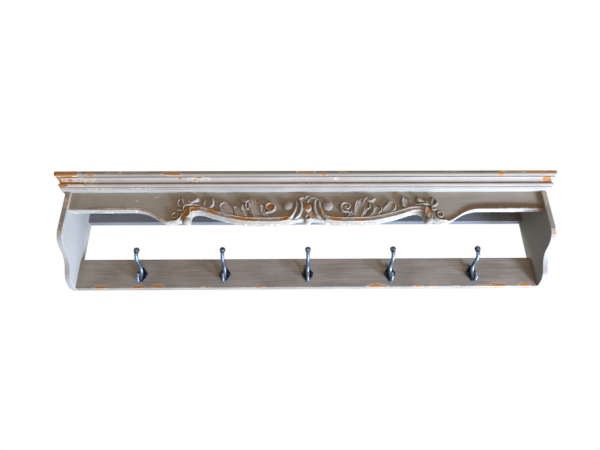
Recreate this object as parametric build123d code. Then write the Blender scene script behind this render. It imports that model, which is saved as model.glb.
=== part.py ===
from build123d import *
from math import cos, hypot, radians, sin
import os

# Carved wall shelf with a coat rail: a moulded shelf on two side brackets, a carved apron
# between them, and two back rails, the lower of which carries five cast double hooks.
#
# Frame: X along the wall, Y into the wall (wall plane Y = 0, the room is -Y), Z up.
# Origin: on the wall plane, midway between the two keyhole hangers. All sizes in millimetres.

# ---- Case ----
inner_width = 1143.0
bracket_thickness = 12.7
bracket_depth = 134.0
rail_thickness = 19.0
upper_rail_height = 60.0
rail_gap = 103.0
lower_rail_height = 75.0

# ---- Side bracket curve: depth off the wall, and rise above the bracket's bottom ----
shoulder_rise = 112.0
knee_depth = 90.0
knee_rise = 65.0
shin_depth = 60.0
shin_rise = 27.0
toe_depth = 24.0
knee_slope = (0.88, -0.45)
shin_slope = (0.38, -0.92)
toe_slope = (0.97, -0.25)

# ---- Shelf board and mouldings: overhang is beyond the bracket's outer face and front ----
shelf_thickness = 12.7
shelf_overhang = 24.0
lip_radius = 5.0
top_arris_radius = 1.2
crown_height = 16.0
crown_top_overhang = 18.5
crown_bottom_overhang = 11.5
bed_height = 14.0
bed_top_overhang = 13.5
bed_bottom_overhang = 7.0
fillet_height = 2.5
cove_depth_share = 0.28
cove_middle_lift = 1.5
bed_step = 1.5
swell_share = 0.72
swell_rise_share = 0.30

# ---- Apron board ----
apron_thickness = 19.0
apron_setback = 7.0
apron_side_height = 76.0
relief = 7.0
high_relief = 9.0

# ---- Apron lower edge: X from the middle, rise above the apron's flat edge ----
ogee_start_x = 420.0
ogee_middle_x = 365.0
ogee_middle_rise = -16.5
wave_line = [(262.0, -7.2), (230.0, -15.3), (190.0, -26.8), (150.0, -34.6), (108.0, -36.3),
             (66.0, -35.6)]
wave_band = 11.0
wave_foot = (40.0, -31.5)
board_margin = 1.0
cusp_lift = 2.0
cusp_slope = (-0.6, 0.8)
scroll_underside = 0.85
notch_share = 0.6
crest_step = (14.0, -3.8)
bud_hollow = (28.8, -28.5)

# ---- Carving: centres and centre lines, X from the middle and rise above the flat edge ----
leaf_tip = 0.45
volute_x = 315.0
volute_rise = -18.0
volute_radius = 8.5
scroll_reach = 15.5
scroll_band = 5.0
scroll_angles = [-60.0, -90.0, -125.0, -160.0, 170.0]
bulb_x = 289.0
bulb_rise = -25.5
bulb_radius = 8.5
stem_width = 10.0
stem_line = [(290.0, -20.0), (296.0, -9.0), (291.0, 4.0)]
end_leaf_lines = [
    [(290.0, 3.0), (279.0, 17.0), (276.0, 31.0)],
    [(293.0, 3.0), (293.0, 17.0), (298.0, 28.5)],
    [(296.0, 1.0), (308.0, 9.0), (314.0, 26.0)],
]
end_leaf_width = 9.0
vine_line = [(184.0, -14.0), (211.0, -7.4), (231.0, -1.4), (250.0, 4.2), (272.0, 9.5)]
vine_width = 4.0
near_scale = [(158.0, -18.0), (154.0, -5.0), (167.0, 6.0), (179.5, 1.5), (177.5, -8.0),
              (168.0, -17.5)]
far_scale = [(183.0, -11.0), (181.5, 3.0), (192.0, 13.5), (204.0, 15.0), (213.0, 8.5),
             (201.0, -2.5), (196.0, -9.5)]
tall_leaf = [(240.0, 1.5), (229.0, 9.0), (227.0, 21.0), (236.0, 29.0), (246.0, 30.5),
             (252.5, 21.0), (247.5, 4.5)]
spray_lines = [
    [(79.0, -29.0), (90.0, -20.0), (94.0, -9.0), (92.0, 2.0)],
    [(88.0, -30.0), (98.0, -17.0), (102.0, -5.0), (101.0, 13.0)],
    [(99.0, -30.0), (107.0, -17.0), (111.0, -3.0), (110.0, 16.0)],
    [(109.0, -28.5), (118.0, -12.0), (124.0, 5.0), (137.0, 29.0)],
    [(116.0, -30.0), (137.0, -24.0), (150.0, -13.0), (152.0, 3.0), (147.0, 18.0)],
    [(140.0, 17.0), (148.0, 12.5), (158.0, 14.0), (168.0, 24.0)],
]
spray_widths = [9.0, 9.0, 9.0, 15.0, 9.0, 8.0]
spray_fill_line = [(104.0, -27.0), (124.0, -17.0), (136.0, -8.0), (142.0, 2.0)]
spray_fill_width = 15.0
curl_x = 87.5
curl_rise = 2.0
curl_radius = 10.5
boss_x = 48.5
boss_rise = 8.0
boss_radius = 13.5
boss_height = 8.0
cabochon_radius = 10.5
cabochon_rise = 2.5
cabochon_height = 8.0
inner_rib_line = [(18.0, 21.0), (15.0, 9.0), (15.5, -5.0), (19.5, -17.0), (27.0, -25.5)]
inner_rib_width = 6.5
outer_rib_line = [(32.0, 20.0), (27.5, 9.0), (28.0, -4.0), (33.0, -17.0), (43.0, -27.0)]
outer_rib_width = 7.0
crown_leaf_rise = 24.0
crown_lobe_radii = (7.0, 8.0)
side_lobe_place = (11.0, 20.0)
side_lobe_radii = (6.5, 4.5)
bud_radius = 8.0
bud_rise = -25.5

# ---- Coat hook: out from the rail's face, and rise above the plate's middle ----
hook_count = 5
end_hook_distance = 159.5
hook_rise = 37.5
plate_width = 31.0
plate_top = 17.0
plate_bottom = 26.0
plate_thickness = 3.0
plate_corner = 3.5
arm_radius = 4.0
arm_line = [(5.5, -17.0), (5.5, 0.0), (19.0, 12.0), (58.0, 17.5), (63.0, 34.0)]
arm_bends = [14.0, 16.0, 13.0]
knob_radius = 6.8
knob_base_rise = 30.0
knob_flare_height = 8.0
knob_cap_height = 6.0
prong_radius = 3.4
prong_line = [(5.5, -13.0), (7.0, -25.0), (28.0, -25.5), (31.0, -13.5)]
prong_bends = [7.5, 7.5]
tip_radius = 4.3
tip_base_rise = -16.0
tip_flare_height = 3.5
tip_cap_height = 3.5
hook_screw_pitch = 21.0
hook_screw_drop = 4.0

# ---- Hangers: keyhole plates let into the back of the upper rail ----
hanger_spacing = 812.8
keyhole_entry_radius = 4.5
keyhole_slot_radius = 2.3
keyhole_travel = 9.0
hanger_length = 44.0
hanger_width = 16.0
hanger_thickness = 1.6
hanger_middle_rise = 4.0
hanger_screw_pitch = 34.0
pocket_depth = 8.0

# ---- Fixings ----
dowel_radius = 3.0
dowel_length = 26.0
dowel_in_bracket = 8.0
dowel_edge_distance = 17.0
screw_radius = 1.7
screw_head_radius = 3.2
screw_head_height = 2.0
screw_length = 15.0
hanger_screw_radius = 1.3
hanger_screw_head_radius = 2.6
hanger_screw_length = 11.0
glue_block_size = 18.0
glue_block_length = 60.0
glue_block_pitch = 400.0

# ---- Clearances ----
hole_clearance = 0.05
seat_clearance = 0.2

# ---- Worked out from the sizes above ----
half_inner = inner_width / 2
half_case = half_inner + bracket_thickness
shelf_underside = upper_rail_height / 2
shelf_top = shelf_underside + shelf_thickness
lower_rail_top = -upper_rail_height / 2 - rail_gap
case_bottom = lower_rail_top - lower_rail_height
apron_front = bracket_depth - apron_setback
apron_back = apron_front - apron_thickness
apron_edge = shelf_underside - apron_side_height
crown_bottom = shelf_underside - crown_height
bed_bottom = crown_bottom - bed_height
hook_centre = case_bottom + hook_rise
hook_span = inner_width - 2 * end_hook_distance
hook_positions = [hook_span * (i / (hook_count - 1) - 0.5) for i in range(hook_count)]

nodes = {}


# ---- Helpers ----
def block(x_range, y_range, z_range):
    """A box between two corners."""
    size = [high - low for low, high in (x_range, y_range, z_range)]
    middle = [(high + low) / 2 for low, high in (x_range, y_range, z_range)]
    return Pos(*middle) * Box(*size)


def rod(axis, radius, start, end, across):
    """A cylinder along X, Y or Z; across holds its two other coordinates, in XYZ order."""
    turn = {"X": Rot(0, 90, 0), "Y": Rot(90, 0, 0), "Z": Rot(0, 0, 0)}[axis]
    centre = list(across)
    centre.insert("XYZ".index(axis), (start + end) / 2)
    return Pos(*centre) * turn * Cylinder(radius, abs(end - start))


def mirrored(shape):
    """The same shape on the other side of the middle."""
    return mirror(shape, about=Plane.YZ)


def carving_plane(depth):
    """A plane facing the room, with its origin at the middle of the apron's flat edge."""
    return Plane(origin=(0, -depth, apron_edge), x_dir=(1, 0, 0), z_dir=(0, -1, 0))


def carve(sketch, height=relief):
    """Raises an outline off the apron's face."""
    return extrude(carving_plane(apron_front) * sketch, amount=height)


def petal(base, reach, width, fullness=0.55):
    """A leaf outline: two arcs from its base to its tip, widest part of the way out."""
    tip = (base[0] + reach[0], base[1] + reach[1])
    length = hypot(*reach)
    side = (-reach[1] / length * width / 2, reach[0] / length * width / 2)
    middle = (base[0] + reach[0] * fullness, base[1] + reach[1] * fullness)
    left = (middle[0] + side[0], middle[1] + side[1])
    right = (middle[0] - side[0], middle[1] - side[1])
    return make_face([ThreePointArc(base, left, tip), ThreePointArc(tip, right, base)])


def strip(points, width, tip=1.0):
    """A band along a smooth line through the points; tip is the share of width left at its end."""
    left, right = [], []
    for i, (x, y) in enumerate(points):
        half = width / 2 * (tip if i == len(points) - 1 else 1)
        before = points[max(i - 1, 0)]
        after = points[min(i + 1, len(points) - 1)]
        length = hypot(after[0] - before[0], after[1] - before[1])
        normal = (-(after[1] - before[1]) / length, (after[0] - before[0]) / length)
        left.append((x + normal[0] * half, y + normal[1] * half))
        right.append((x - normal[0] * half, y - normal[1] * half))
    ends = [Line(left[-1], right[-1]), Line(right[0], left[0])]
    return make_face([Spline(*left), ends[0], Spline(*right), ends[1]])


def dome(radius, height, x, rise):
    """A spherical cap on the apron's face."""
    ball_radius = (radius**2 + height**2) / (2 * height)
    z = apron_edge + rise
    ball = Pos(x, ball_radius - apron_front - height, z) * Sphere(ball_radius)
    half_side = 1.5 * ball_radius
    room_side = block((x - half_side, x + half_side), (-apron_front - 2 * height, -apron_front),
                      (z - half_side, z + half_side))
    return ball & room_side


# ---- Side brackets ----
def bracket_face():
    """The bracket seen from the side, in Y and Z."""
    depth = bracket_depth
    corner_points = [(0, case_bottom), (0, shelf_underside), (-depth, shelf_underside),
                     (-depth, case_bottom + shoulder_rise)]
    curve = Spline(
        corner_points[-1],
        (-knee_depth, case_bottom + knee_rise),
        (-shin_depth, case_bottom + shin_rise),
        (-toe_depth, case_bottom),
        tangents=[(0, -1), knee_slope, shin_slope, toe_slope],
    )
    back = Polyline(*corner_points)
    foot = Line((-toe_depth, case_bottom), (0, case_bottom))
    return make_face([back, curve, foot])


def bracket_dowel_axes():
    """Y and Z of the dowels that enter a bracket from its inner face."""
    rail_middle = -rail_thickness / 2
    upper = shelf_underside - dowel_edge_distance
    apron_middle = -(apron_front + apron_back) / 2
    return {
        "upper_rail": [(rail_middle, upper), (rail_middle, -upper)],
        "lower_rail": [(rail_middle, lower_rail_top - dowel_edge_distance),
                       (rail_middle, case_bottom + dowel_edge_distance)],
        "apron": [(apron_middle, upper),
                  (apron_middle, apron_edge + dowel_edge_distance)],
    }


def side_dowels(group, radius):
    """The dowels, or with a larger radius their holes, at both ends of one board."""
    start = half_inner + dowel_in_bracket
    made = []
    for across in bracket_dowel_axes()[group]:
        pin = rod("X", radius, start - dowel_length, start, across)
        made += [pin, mirrored(pin)]
    return made


def top_dowels(radius):
    """Dowels up from each bracket's top edge into the shelf board."""
    top = shelf_underside + dowel_in_bracket
    x = half_inner + bracket_thickness / 2
    made = []
    for depth in (rail_thickness + dowel_edge_distance, apron_back - dowel_edge_distance):
        pin = rod("Z", radius, top - dowel_length, top, (x, -depth))
        made += [pin, mirrored(pin)]
    return made


def dowel_holes():
    """Every dowel hole, to be cut from whatever it meets."""
    radius = dowel_radius + hole_clearance
    holes = top_dowels(radius)
    for group in bracket_dowel_axes():
        holes += side_dowels(group, radius)
    return holes


def side_bracket():
    plate = extrude(Plane.YZ.offset(half_inner) * bracket_face(), amount=bracket_thickness)
    return plate - dowel_holes()


# ---- Shelf board ----
def shelf_board():
    half_length = half_case + shelf_overhang
    depth = bracket_depth + shelf_overhang
    board = block((-half_length, half_length), (-depth, 0), (shelf_underside, shelf_top))
    front_and_ends = [e for e in board.edges() if e.center().Y < -1 and e.geom_type == GeomType.LINE]
    lower = [e for e in front_and_ends if abs(e.center().Z - shelf_underside) < 0.01]
    board = fillet(lower, lip_radius)
    upper = [e for e in board.edges() if abs(e.center().Z - shelf_top) < 0.01 and e.center().Y < -1]
    board = fillet(upper, top_arris_radius)
    return board - top_dowels(dowel_radius + hole_clearance)


# ---- Mouldings ----
def crown_profile():
    """Cove moulding: runs of 2 points are straight and runs of 3 are arcs, as (overhang, Z)."""
    cove_foot = crown_bottom + fillet_height
    cove_head = shelf_underside - fillet_height
    inner = crown_bottom_overhang
    outer = crown_top_overhang
    hollow = (inner + cove_depth_share * (outer - inner), (cove_foot + cove_head) / 2 + cove_middle_lift)
    return [
        [(0, crown_bottom), (inner, crown_bottom)],
        [(inner, crown_bottom), (inner, cove_foot)],
        [(inner, cove_foot), hollow, (outer, cove_head)],
        [(outer, cove_head), (outer, shelf_underside)],
        [(outer, shelf_underside), (0, shelf_underside)],
        [(0, shelf_underside), (0, crown_bottom)],
    ]


def bed_profile():
    """Bed moulding: a step at the bottom, then a swelling round up to a flat band."""
    round_foot = bed_bottom + fillet_height
    round_head = crown_bottom - 2 * fillet_height
    inner = bed_bottom_overhang
    step = inner + bed_step
    outer = bed_top_overhang
    swell = (step + swell_share * (outer - step),
             round_foot + swell_rise_share * (round_head - round_foot))
    return [
        [(0, bed_bottom), (inner, bed_bottom)],
        [(inner, bed_bottom), (inner, round_foot)],
        [(inner, round_foot), (step, round_foot)],
        [(step, round_foot), swell, (outer, round_head)],
        [(outer, round_head), (outer, crown_bottom)],
        [(outer, crown_bottom), (0, crown_bottom)],
        [(0, crown_bottom), (0, bed_bottom)],
    ]


def profile_face(profile, place):
    """Draws a moulding's section, with each point moved by place."""
    edges = []
    for run in profile:
        points = [place(*point) for point in run]
        edges.append(Line(*points) if len(points) == 2 else ThreePointArc(*points))
    return make_face(edges)


def mitre_prism(corners):
    """A tall prism over a plan outline, which cuts the mitres."""
    plan = make_face(Polyline(*corners, close=True))
    return extrude(Pos(0, 0, case_bottom) * plan, amount=shelf_top - case_bottom)


def front_moulding(profile, bottom, top):
    """The front length: mitred ends, and a rebated back that reaches the apron."""
    half_long = half_case + shelf_overhang
    face = profile_face(profile, lambda overhang, z: (-(bracket_depth + overhang), z))
    length = extrude(Plane.YZ.offset(-half_long) * face, amount=2 * half_long)
    reach = bracket_depth + shelf_overhang
    length &= mitre_prism([(-half_case, -bracket_depth), (half_case, -bracket_depth),
                           (half_long, -reach), (-half_long, -reach)])
    rebate = block((-half_inner, half_inner), (-bracket_depth, -apron_front), (bottom, top))
    return length + rebate


def return_moulding(profile):
    """The right-hand return, from the wall to the mitre."""
    half_long = half_case + shelf_overhang
    reach = bracket_depth + shelf_overhang
    face = profile_face(profile, lambda overhang, z: (half_case + overhang, z))
    length = extrude(Plane.XZ * face, amount=reach)
    return length & mitre_prism([(half_case, 0), (half_long, 0), (half_long, -reach),
                                 (half_case, -bracket_depth)])


# ---- Apron board ----
def half_lower_edge():
    """The right half of the apron's lower edge, from the bracket to the middle."""
    cusp = (bulb_x + bulb_radius + board_margin, bulb_rise + cusp_lift)
    notch = (bulb_x - bulb_radius, bulb_rise + notch_share * bulb_radius)
    below_crest = (wave_line[0][0] + crest_step[0], wave_line[0][1] + crest_step[1])
    bud_side = (bud_radius + board_margin, bud_rise)
    return [
        Line((half_inner, 0), (ogee_start_x, 0)),
        Spline((ogee_start_x, 0), (ogee_middle_x, ogee_middle_rise),
               (volute_x + scroll_reach, volute_rise - scroll_reach),
               (volute_x, volute_rise - scroll_underside * scroll_reach), cusp,
               tangents=[(-1, 0), cusp_slope]),
        ThreePointArc(cusp, (bulb_x, bulb_rise - bulb_radius), notch),
        Spline(notch, below_crest, *wave_line, bud_hollow, bud_side),
    ]


def apron_board():
    half = half_lower_edge()
    bud_half = bud_radius + board_margin
    bud_arc = ThreePointArc((bud_half, bud_rise), (0, bud_rise - bud_radius), (-bud_half, bud_rise))
    sides = Polyline((half_inner, 0), (half_inner, apron_side_height),
                     (-half_inner, apron_side_height), (-half_inner, 0))
    outline = make_face(half + [bud_arc] + [mirrored(edge) for edge in half] + [sides])
    board = extrude(carving_plane(apron_back) * outline, amount=apron_thickness)
    return board - side_dowels("apron", dowel_radius + hole_clearance)


# ---- Carving, right-hand side ----
def wave_moulding(height=relief):
    """The moulded band that follows the lower edge from the crest to the cartouche."""
    lower = wave_line + [wave_foot]
    upper = [(x, rise + wave_band) for x, rise in lower]
    band = make_face([Spline(*lower), Line(lower[-1], upper[-1]),
                      Spline(*upper), Line(upper[0], lower[0])])
    return carve(band, height)


def end_scroll():
    """The outer end: a volute button in a C-shaped band, and the bulb on its stem."""
    reach = scroll_reach - scroll_band / 2
    around = [(volute_x + reach * cos(radians(a)), volute_rise + reach * sin(radians(a)))
              for a in scroll_angles]
    button = Pos(volute_x, volute_rise) * Circle(volute_radius)
    bulb = Pos(bulb_x, bulb_rise) * Circle(bulb_radius)
    bridge = petal((volute_x - reach, volute_rise), (reach, volute_radius), scroll_band)
    return carve(button + bulb + bridge + strip(stem_line, stem_width)
                 + strip(around, scroll_band, leaf_tip), high_relief)


def end_leaves():
    """Three leaves that spring from the head of the end scroll."""
    leaves = Sketch()
    for line in end_leaf_lines:
        leaves += strip(line, end_leaf_width, leaf_tip)
    return carve(leaves)


def wave_leaves():
    """Two scale leaves and a tall leaf, on the vine that they grow from."""
    leaves = strip(vine_line, vine_width)
    for outline in (near_scale, far_scale, tall_leaf):
        leaves += make_face(Spline(*outline, periodic=True))
    return carve(leaves)


def acanthus_spray():
    """A fan of ribbed lobes from one root, the innermost curled over as a rosette."""
    spray = Pos(curl_x, curl_rise) * Circle(curl_radius)
    spray += strip(spray_fill_line, spray_fill_width)
    for line, width in zip(spray_lines, spray_widths):
        spray += strip(line, width, leaf_tip)
    return carve(spray, high_relief)


def cartouche_ribs():
    """Two ribs that frame the cabochon, bowed towards the middle."""
    inner = strip(inner_rib_line, inner_rib_width, leaf_tip)
    outer = strip(outer_rib_line, outer_rib_width, leaf_tip)
    return carve(inner + outer, high_relief)


# ---- Carving, in the middle ----
def crown_leaf():
    """The small three-lobed leaf on top of the cartouche."""
    middle = Pos(0, crown_leaf_rise) * Ellipse(*crown_lobe_radii)
    lobe = Pos(*side_lobe_place) * Ellipse(*side_lobe_radii)
    return carve(middle + lobe + mirrored(lobe), relief)


def fit_round(shape, neighbours):
    """Scribes a carved piece round the ones already in place."""
    for other in neighbours:
        shape = shape - other
    return shape


def carvings():
    """Every applied carving, by node name, none of them overlapping another."""
    boss = dome(boss_radius, boss_height, boss_x, boss_rise)
    cabochon = dome(cabochon_radius, cabochon_height, 0, cabochon_rise)
    bud = dome(bud_radius, relief, 0, bud_rise)
    ribs = fit_round(cartouche_ribs(), [boss, cabochon, bud])
    wave = fit_round(wave_moulding(), [ribs])
    above_wave = wave_moulding(2 * high_relief)
    scroll = fit_round(end_scroll(), [above_wave])
    spray = fit_round(acanthus_spray(), [above_wave, boss])
    end_cluster = fit_round(end_leaves(), [scroll, wave])
    leaves = fit_round(wave_leaves(), [wave, spray, end_cluster, scroll])
    crown = fit_round(crown_leaf(), [cabochon, ribs, mirrored(ribs)])
    pairs = {"volute_boss": boss, "cartouche_ribs": ribs, "wave_moulding": wave,
             "end_scroll": scroll, "acanthus_spray": spray, "end_leaves": end_cluster,
             "wave_leaves": leaves}
    made = {"cabochon": cabochon, "hanging_bud": bud, "crown_leaf": crown}
    for name, shape in pairs.items():
        made[name + "_right"] = shape
        made[name + "_left"] = mirrored(shape)
    return made


# ---- Back rails ----
def hook_screw_axes():
    """X and Z of each hook screw."""
    return [(x + side * hook_screw_pitch / 2, hook_centre - hook_screw_drop)
            for x in hook_positions for side in (-1, 1)]


def lower_hook_rail():
    rail = block((-half_inner, half_inner), (-rail_thickness, 0), (case_bottom, lower_rail_top))
    holes = side_dowels("lower_rail", dowel_radius + hole_clearance)
    tip = screw_length - plate_thickness
    for x, z in hook_screw_axes():
        holes.append(rod("Y", screw_radius + hole_clearance, -rail_thickness,
                         -rail_thickness + tip + hole_clearance, (x, z)))
    return rail - holes


def keyhole_outline(radius_entry, radius_slot):
    """A round entry with a narrower slot up from it, in X and Z."""
    slot = Pos(0, keyhole_travel / 2) * SlotCenterToCenter(keyhole_travel, 2 * radius_slot,
                                                           rotation=90)
    return Circle(radius_entry) + slot


def hanger_screw_rises():
    """Z of the two screws of a keyhole plate."""
    return [hanger_middle_rise + side * hanger_screw_pitch / 2 for side in (-1, 1)]


def upper_back_rail():
    rail = block((-half_inner, half_inner), (-rail_thickness, 0),
                 (-upper_rail_height / 2, upper_rail_height / 2))
    rail -= side_dowels("upper_rail", dowel_radius + hole_clearance)
    seat = RectangleRounded(hanger_width + 2 * seat_clearance, hanger_length + 2 * seat_clearance,
                            hanger_width / 4)
    pocket = keyhole_outline(keyhole_entry_radius + 1, keyhole_entry_radius + 1)
    for side in (-1, 1):
        x = side * hanger_spacing / 2
        rail -= extrude(Plane.XZ * Pos(x, hanger_middle_rise) * seat, amount=hanger_thickness)
        rail -= extrude(Plane.XZ * Pos(x, 0) * pocket, amount=hanger_thickness + pocket_depth)
        for z in hanger_screw_rises():
            rail -= rod("Y", hanger_screw_radius + hole_clearance,
                        -hanger_screw_length - hole_clearance, 0, (x, z))
    return rail


def keyhole_plate(x):
    """A flat steel hanger plate, let in flush with the back of the rail."""
    outline = Pos(0, hanger_middle_rise) * RectangleRounded(hanger_width, hanger_length,
                                                            hanger_width / 4 - seat_clearance)
    outline -= keyhole_outline(keyhole_entry_radius, keyhole_slot_radius)
    plate = extrude(Plane.XZ * Pos(x, 0) * outline, amount=hanger_thickness)
    for z in hanger_screw_rises():
        sink = hanger_thickness
        wide = hanger_screw_head_radius + hole_clearance
        narrow = hanger_screw_radius + hole_clearance
        plate -= Pos(x, -sink / 2, z) * Rot(-90, 0, 0) * Cone(narrow, wide, sink)
    return plate


def keyhole_screws():
    """Countersunk screws of both plates."""
    screws = []
    for side in (-1, 1):
        for z in hanger_screw_rises():
            x = side * hanger_spacing / 2
            head = Pos(x, -hanger_thickness / 2, z) * Rot(-90, 0, 0)
            head *= Cone(hanger_screw_radius, hanger_screw_head_radius, hanger_thickness)
            shank = rod("Y", hanger_screw_radius, -hanger_screw_length, -hanger_thickness, (x, z))
            screws.append(head + shank)
    return screws


# ---- Coat hooks ----
def arm(points, bends, radius):
    """A round bar in the hook's middle plane; points are (out, rise) from the rail's face."""
    path = FilletPolyline(*[(0, -out, rise) for out, rise in points], radius=bends)
    section = Plane(origin=path @ 0, z_dir=path % 0) * Circle(radius)
    return sweep(section, path=path)


def hook_plate():
    """A kite-shaped plate with rounded corners, pierced for two screws."""
    side_drop = hook_screw_drop
    kite = Polygon((0, plate_top), (-plate_width / 2 - plate_corner / 2, -side_drop),
                   (0, -plate_bottom - plate_corner / 2),
                   (plate_width / 2 + plate_corner / 2, -side_drop), align=None)
    kite = fillet(kite.vertices(), plate_corner)
    for side in (-1, 1):
        kite -= Pos(side * hook_screw_pitch / 2, -hook_screw_drop) * Circle(
            screw_radius + hole_clearance)
    return extrude(Plane.XZ * kite, amount=plate_thickness)


def flared_end(out, rise, neck, radius, flare, cap_height):
    """A trumpet that widens upwards from a bar, closed by a low spherical cap."""
    ball_radius = (radius**2 + cap_height**2) / (2 * cap_height)
    brim = rise + flare
    trumpet = Pos(0, -out, rise + flare / 2) * Cone(neck, radius, flare)
    ball = Pos(0, -out, brim + cap_height - ball_radius) * Sphere(ball_radius)
    half_side = 1.5 * ball_radius
    above_brim = block((-half_side, half_side), (-out - half_side, half_side - out),
                       (brim, brim + half_side))
    return trumpet + (ball & above_brim)


def coat_hook(x):
    """One casting: plate, an upper prong that ends in a knob, and a shorter lower prong."""
    upper = arm(arm_line, arm_bends, arm_radius)
    lower = arm(prong_line, prong_bends, prong_radius)
    knob = flared_end(arm_line[-1][0], knob_base_rise, arm_radius, knob_radius,
                      knob_flare_height, knob_cap_height)
    tip = flared_end(prong_line[-1][0], tip_base_rise, prong_radius, tip_radius,
                     tip_flare_height, tip_cap_height)
    hook = hook_plate() + upper + lower + knob + tip
    hook -= block((-plate_width, plate_width), (0, plate_width), (-2 * plate_bottom, 2 * plate_top))
    return Pos(x, -rail_thickness, hook_centre) * hook


def hook_screws():
    """Domed wood screws, two to each hook."""
    screws = []
    seat = -rail_thickness - plate_thickness
    half_side = 1.5 * screw_head_radius
    for x, z in hook_screw_axes():
        shank = rod("Y", screw_radius, seat, seat + screw_length, (x, z))
        ball = Pos(x, seat, z) * Sphere(screw_head_radius)
        room_side = block((x - half_side, x + half_side), (seat - screw_head_height, seat),
                          (z - half_side, z + half_side))
        head = ball & room_side
        screws.append(shank + head)
    return screws


# ---- Glue blocks ----
def glue_blocks():
    """Three-cornered blocks under the shelf board, behind the apron and before the rail."""
    size = glue_block_size
    z = shelf_underside
    behind_apron = make_face(Polyline((-apron_back, z), (-apron_back + size, z),
                                      (-apron_back, z - size), close=True))
    before_rail = make_face(Polyline((-rail_thickness, z), (-rail_thickness - size, z),
                                     (-rail_thickness, z - size), close=True))
    blocks = []
    for i in (-1, 0, 1):
        start = i * glue_block_pitch - glue_block_length / 2
        for face in (behind_apron, before_rail):
            blocks.append(extrude(Plane.YZ.offset(start) * face, amount=glue_block_length))
    return blocks


# ---- Assembly ----
def build():
    bracket = side_bracket()
    nodes["side_bracket_right"] = bracket
    nodes["side_bracket_left"] = mirrored(bracket)
    nodes["shelf_board"] = shelf_board()
    nodes["crown_moulding_front"] = front_moulding(crown_profile(), crown_bottom, shelf_underside)
    nodes["bed_moulding_front"] = front_moulding(bed_profile(), bed_bottom, crown_bottom)
    for name, profile in (("crown", crown_profile()), ("bed", bed_profile())):
        piece = return_moulding(profile)
        nodes[name + "_moulding_return_right"] = piece
        nodes[name + "_moulding_return_left"] = mirrored(piece)
    nodes["apron_board"] = apron_board()
    nodes.update(carvings())
    nodes["upper_back_rail"] = upper_back_rail()
    nodes["lower_hook_rail"] = lower_hook_rail()
    for number, x in enumerate(hook_positions, start=1):
        nodes["coat_hook_%d" % number] = coat_hook(x)
    nodes["hook_screws"] = Compound(children=hook_screws())
    nodes["keyhole_plate_left"] = keyhole_plate(-hanger_spacing / 2)
    nodes["keyhole_plate_right"] = keyhole_plate(hanger_spacing / 2)
    nodes["keyhole_screws"] = Compound(children=keyhole_screws())
    nodes["rail_dowels"] = Compound(children=side_dowels("upper_rail", dowel_radius)
                                    + side_dowels("lower_rail", dowel_radius))
    nodes["apron_dowels"] = Compound(children=side_dowels("apron", dowel_radius))
    nodes["shelf_dowels"] = Compound(children=top_dowels(dowel_radius))
    nodes["glue_blocks"] = Compound(children=glue_blocks())


def write_parts():
    os.makedirs("parts", exist_ok=True)
    for name, shape in nodes.items():
        export_step(shape, "parts/%s.step" % name)
    print(len(nodes), "nodes written")


build()
write_parts()
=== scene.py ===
# %% [markdown]
# # A carved wall shelf with a coat rail, in distressed paint
#
# The real object is joined softwood: a moulded shelf on two shaped brackets, a waved apron with
# applied carving, an open back between two rails, and five cast hooks screwed to the lower rail.
# It was painted a warm grey, glazed brown in the hollows and rubbed through to the wood where
# hands and dusters would wear it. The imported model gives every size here: pieces are built
# around the corners of its nodes, so that nothing has to be fitted afterwards.

# %% load the frame
from bisect import bisect
from functools import partial
from math import cos, pi, sin, sqrt

import bmesh
import bpy
import numpy as np
from mathutils import Matrix, Vector
from mathutils.bvhtree import BVHTree
from mathutils.kdtree import KDTree


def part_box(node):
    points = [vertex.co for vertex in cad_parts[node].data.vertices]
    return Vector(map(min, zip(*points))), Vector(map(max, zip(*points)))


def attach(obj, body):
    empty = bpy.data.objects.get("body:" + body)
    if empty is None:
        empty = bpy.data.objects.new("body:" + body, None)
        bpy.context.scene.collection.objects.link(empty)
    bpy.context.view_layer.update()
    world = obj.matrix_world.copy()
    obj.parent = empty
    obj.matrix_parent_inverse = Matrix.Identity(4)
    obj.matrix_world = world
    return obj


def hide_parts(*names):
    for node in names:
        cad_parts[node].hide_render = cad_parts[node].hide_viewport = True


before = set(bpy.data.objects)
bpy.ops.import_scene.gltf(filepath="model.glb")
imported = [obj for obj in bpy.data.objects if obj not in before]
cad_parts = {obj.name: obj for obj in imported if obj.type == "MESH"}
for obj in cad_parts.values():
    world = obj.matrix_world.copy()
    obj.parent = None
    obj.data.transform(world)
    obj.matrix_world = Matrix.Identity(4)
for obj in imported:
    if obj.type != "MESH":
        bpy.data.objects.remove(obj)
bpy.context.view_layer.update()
MM = 0.001
TOUCHING = 0.01 * MM
CORNER_ANGLE = 0.9

# %% [markdown]
# ## Sizes that everything hangs on
#
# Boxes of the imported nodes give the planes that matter: the apron's face, which carries the
# carving, the flat edge of the apron, from which the carving's rises are counted, and the
# brackets' faces. Only the carving and the moulding sections need numbers of their own.

# %% sizes from the frame
APRON_DROP = 76 * MM

shelf_low, shelf_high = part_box("shelf_board")
bracket_low, bracket_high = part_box("side_bracket_right")
apron_low, apron_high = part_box("apron_board")
rail_low, rail_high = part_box("lower_hook_rail")
crown_low, crown_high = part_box("crown_moulding_front")
bed_low, bed_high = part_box("bed_moulding_front")
half_inner = bracket_low.x
half_case = bracket_high.x
case_front = bracket_low.y
face_y = apron_low.y
flat_edge = shelf_low.z - APRON_DROP
print("apron face at y", round(face_y, 4), "and its flat edge at z", round(flat_edge, 4))

# %% [markdown]
# ## The camera
#
# The shelf is seen from a little below and just left of its middle, as a person in a low chair
# would see it. The camera stands 1.1 m away and looks up by about 24 degrees. A focal length
# of 451 pixels on a 600 pixel picture is a 27 mm lens on a 36 mm sensor. Angles are in radians.

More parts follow.
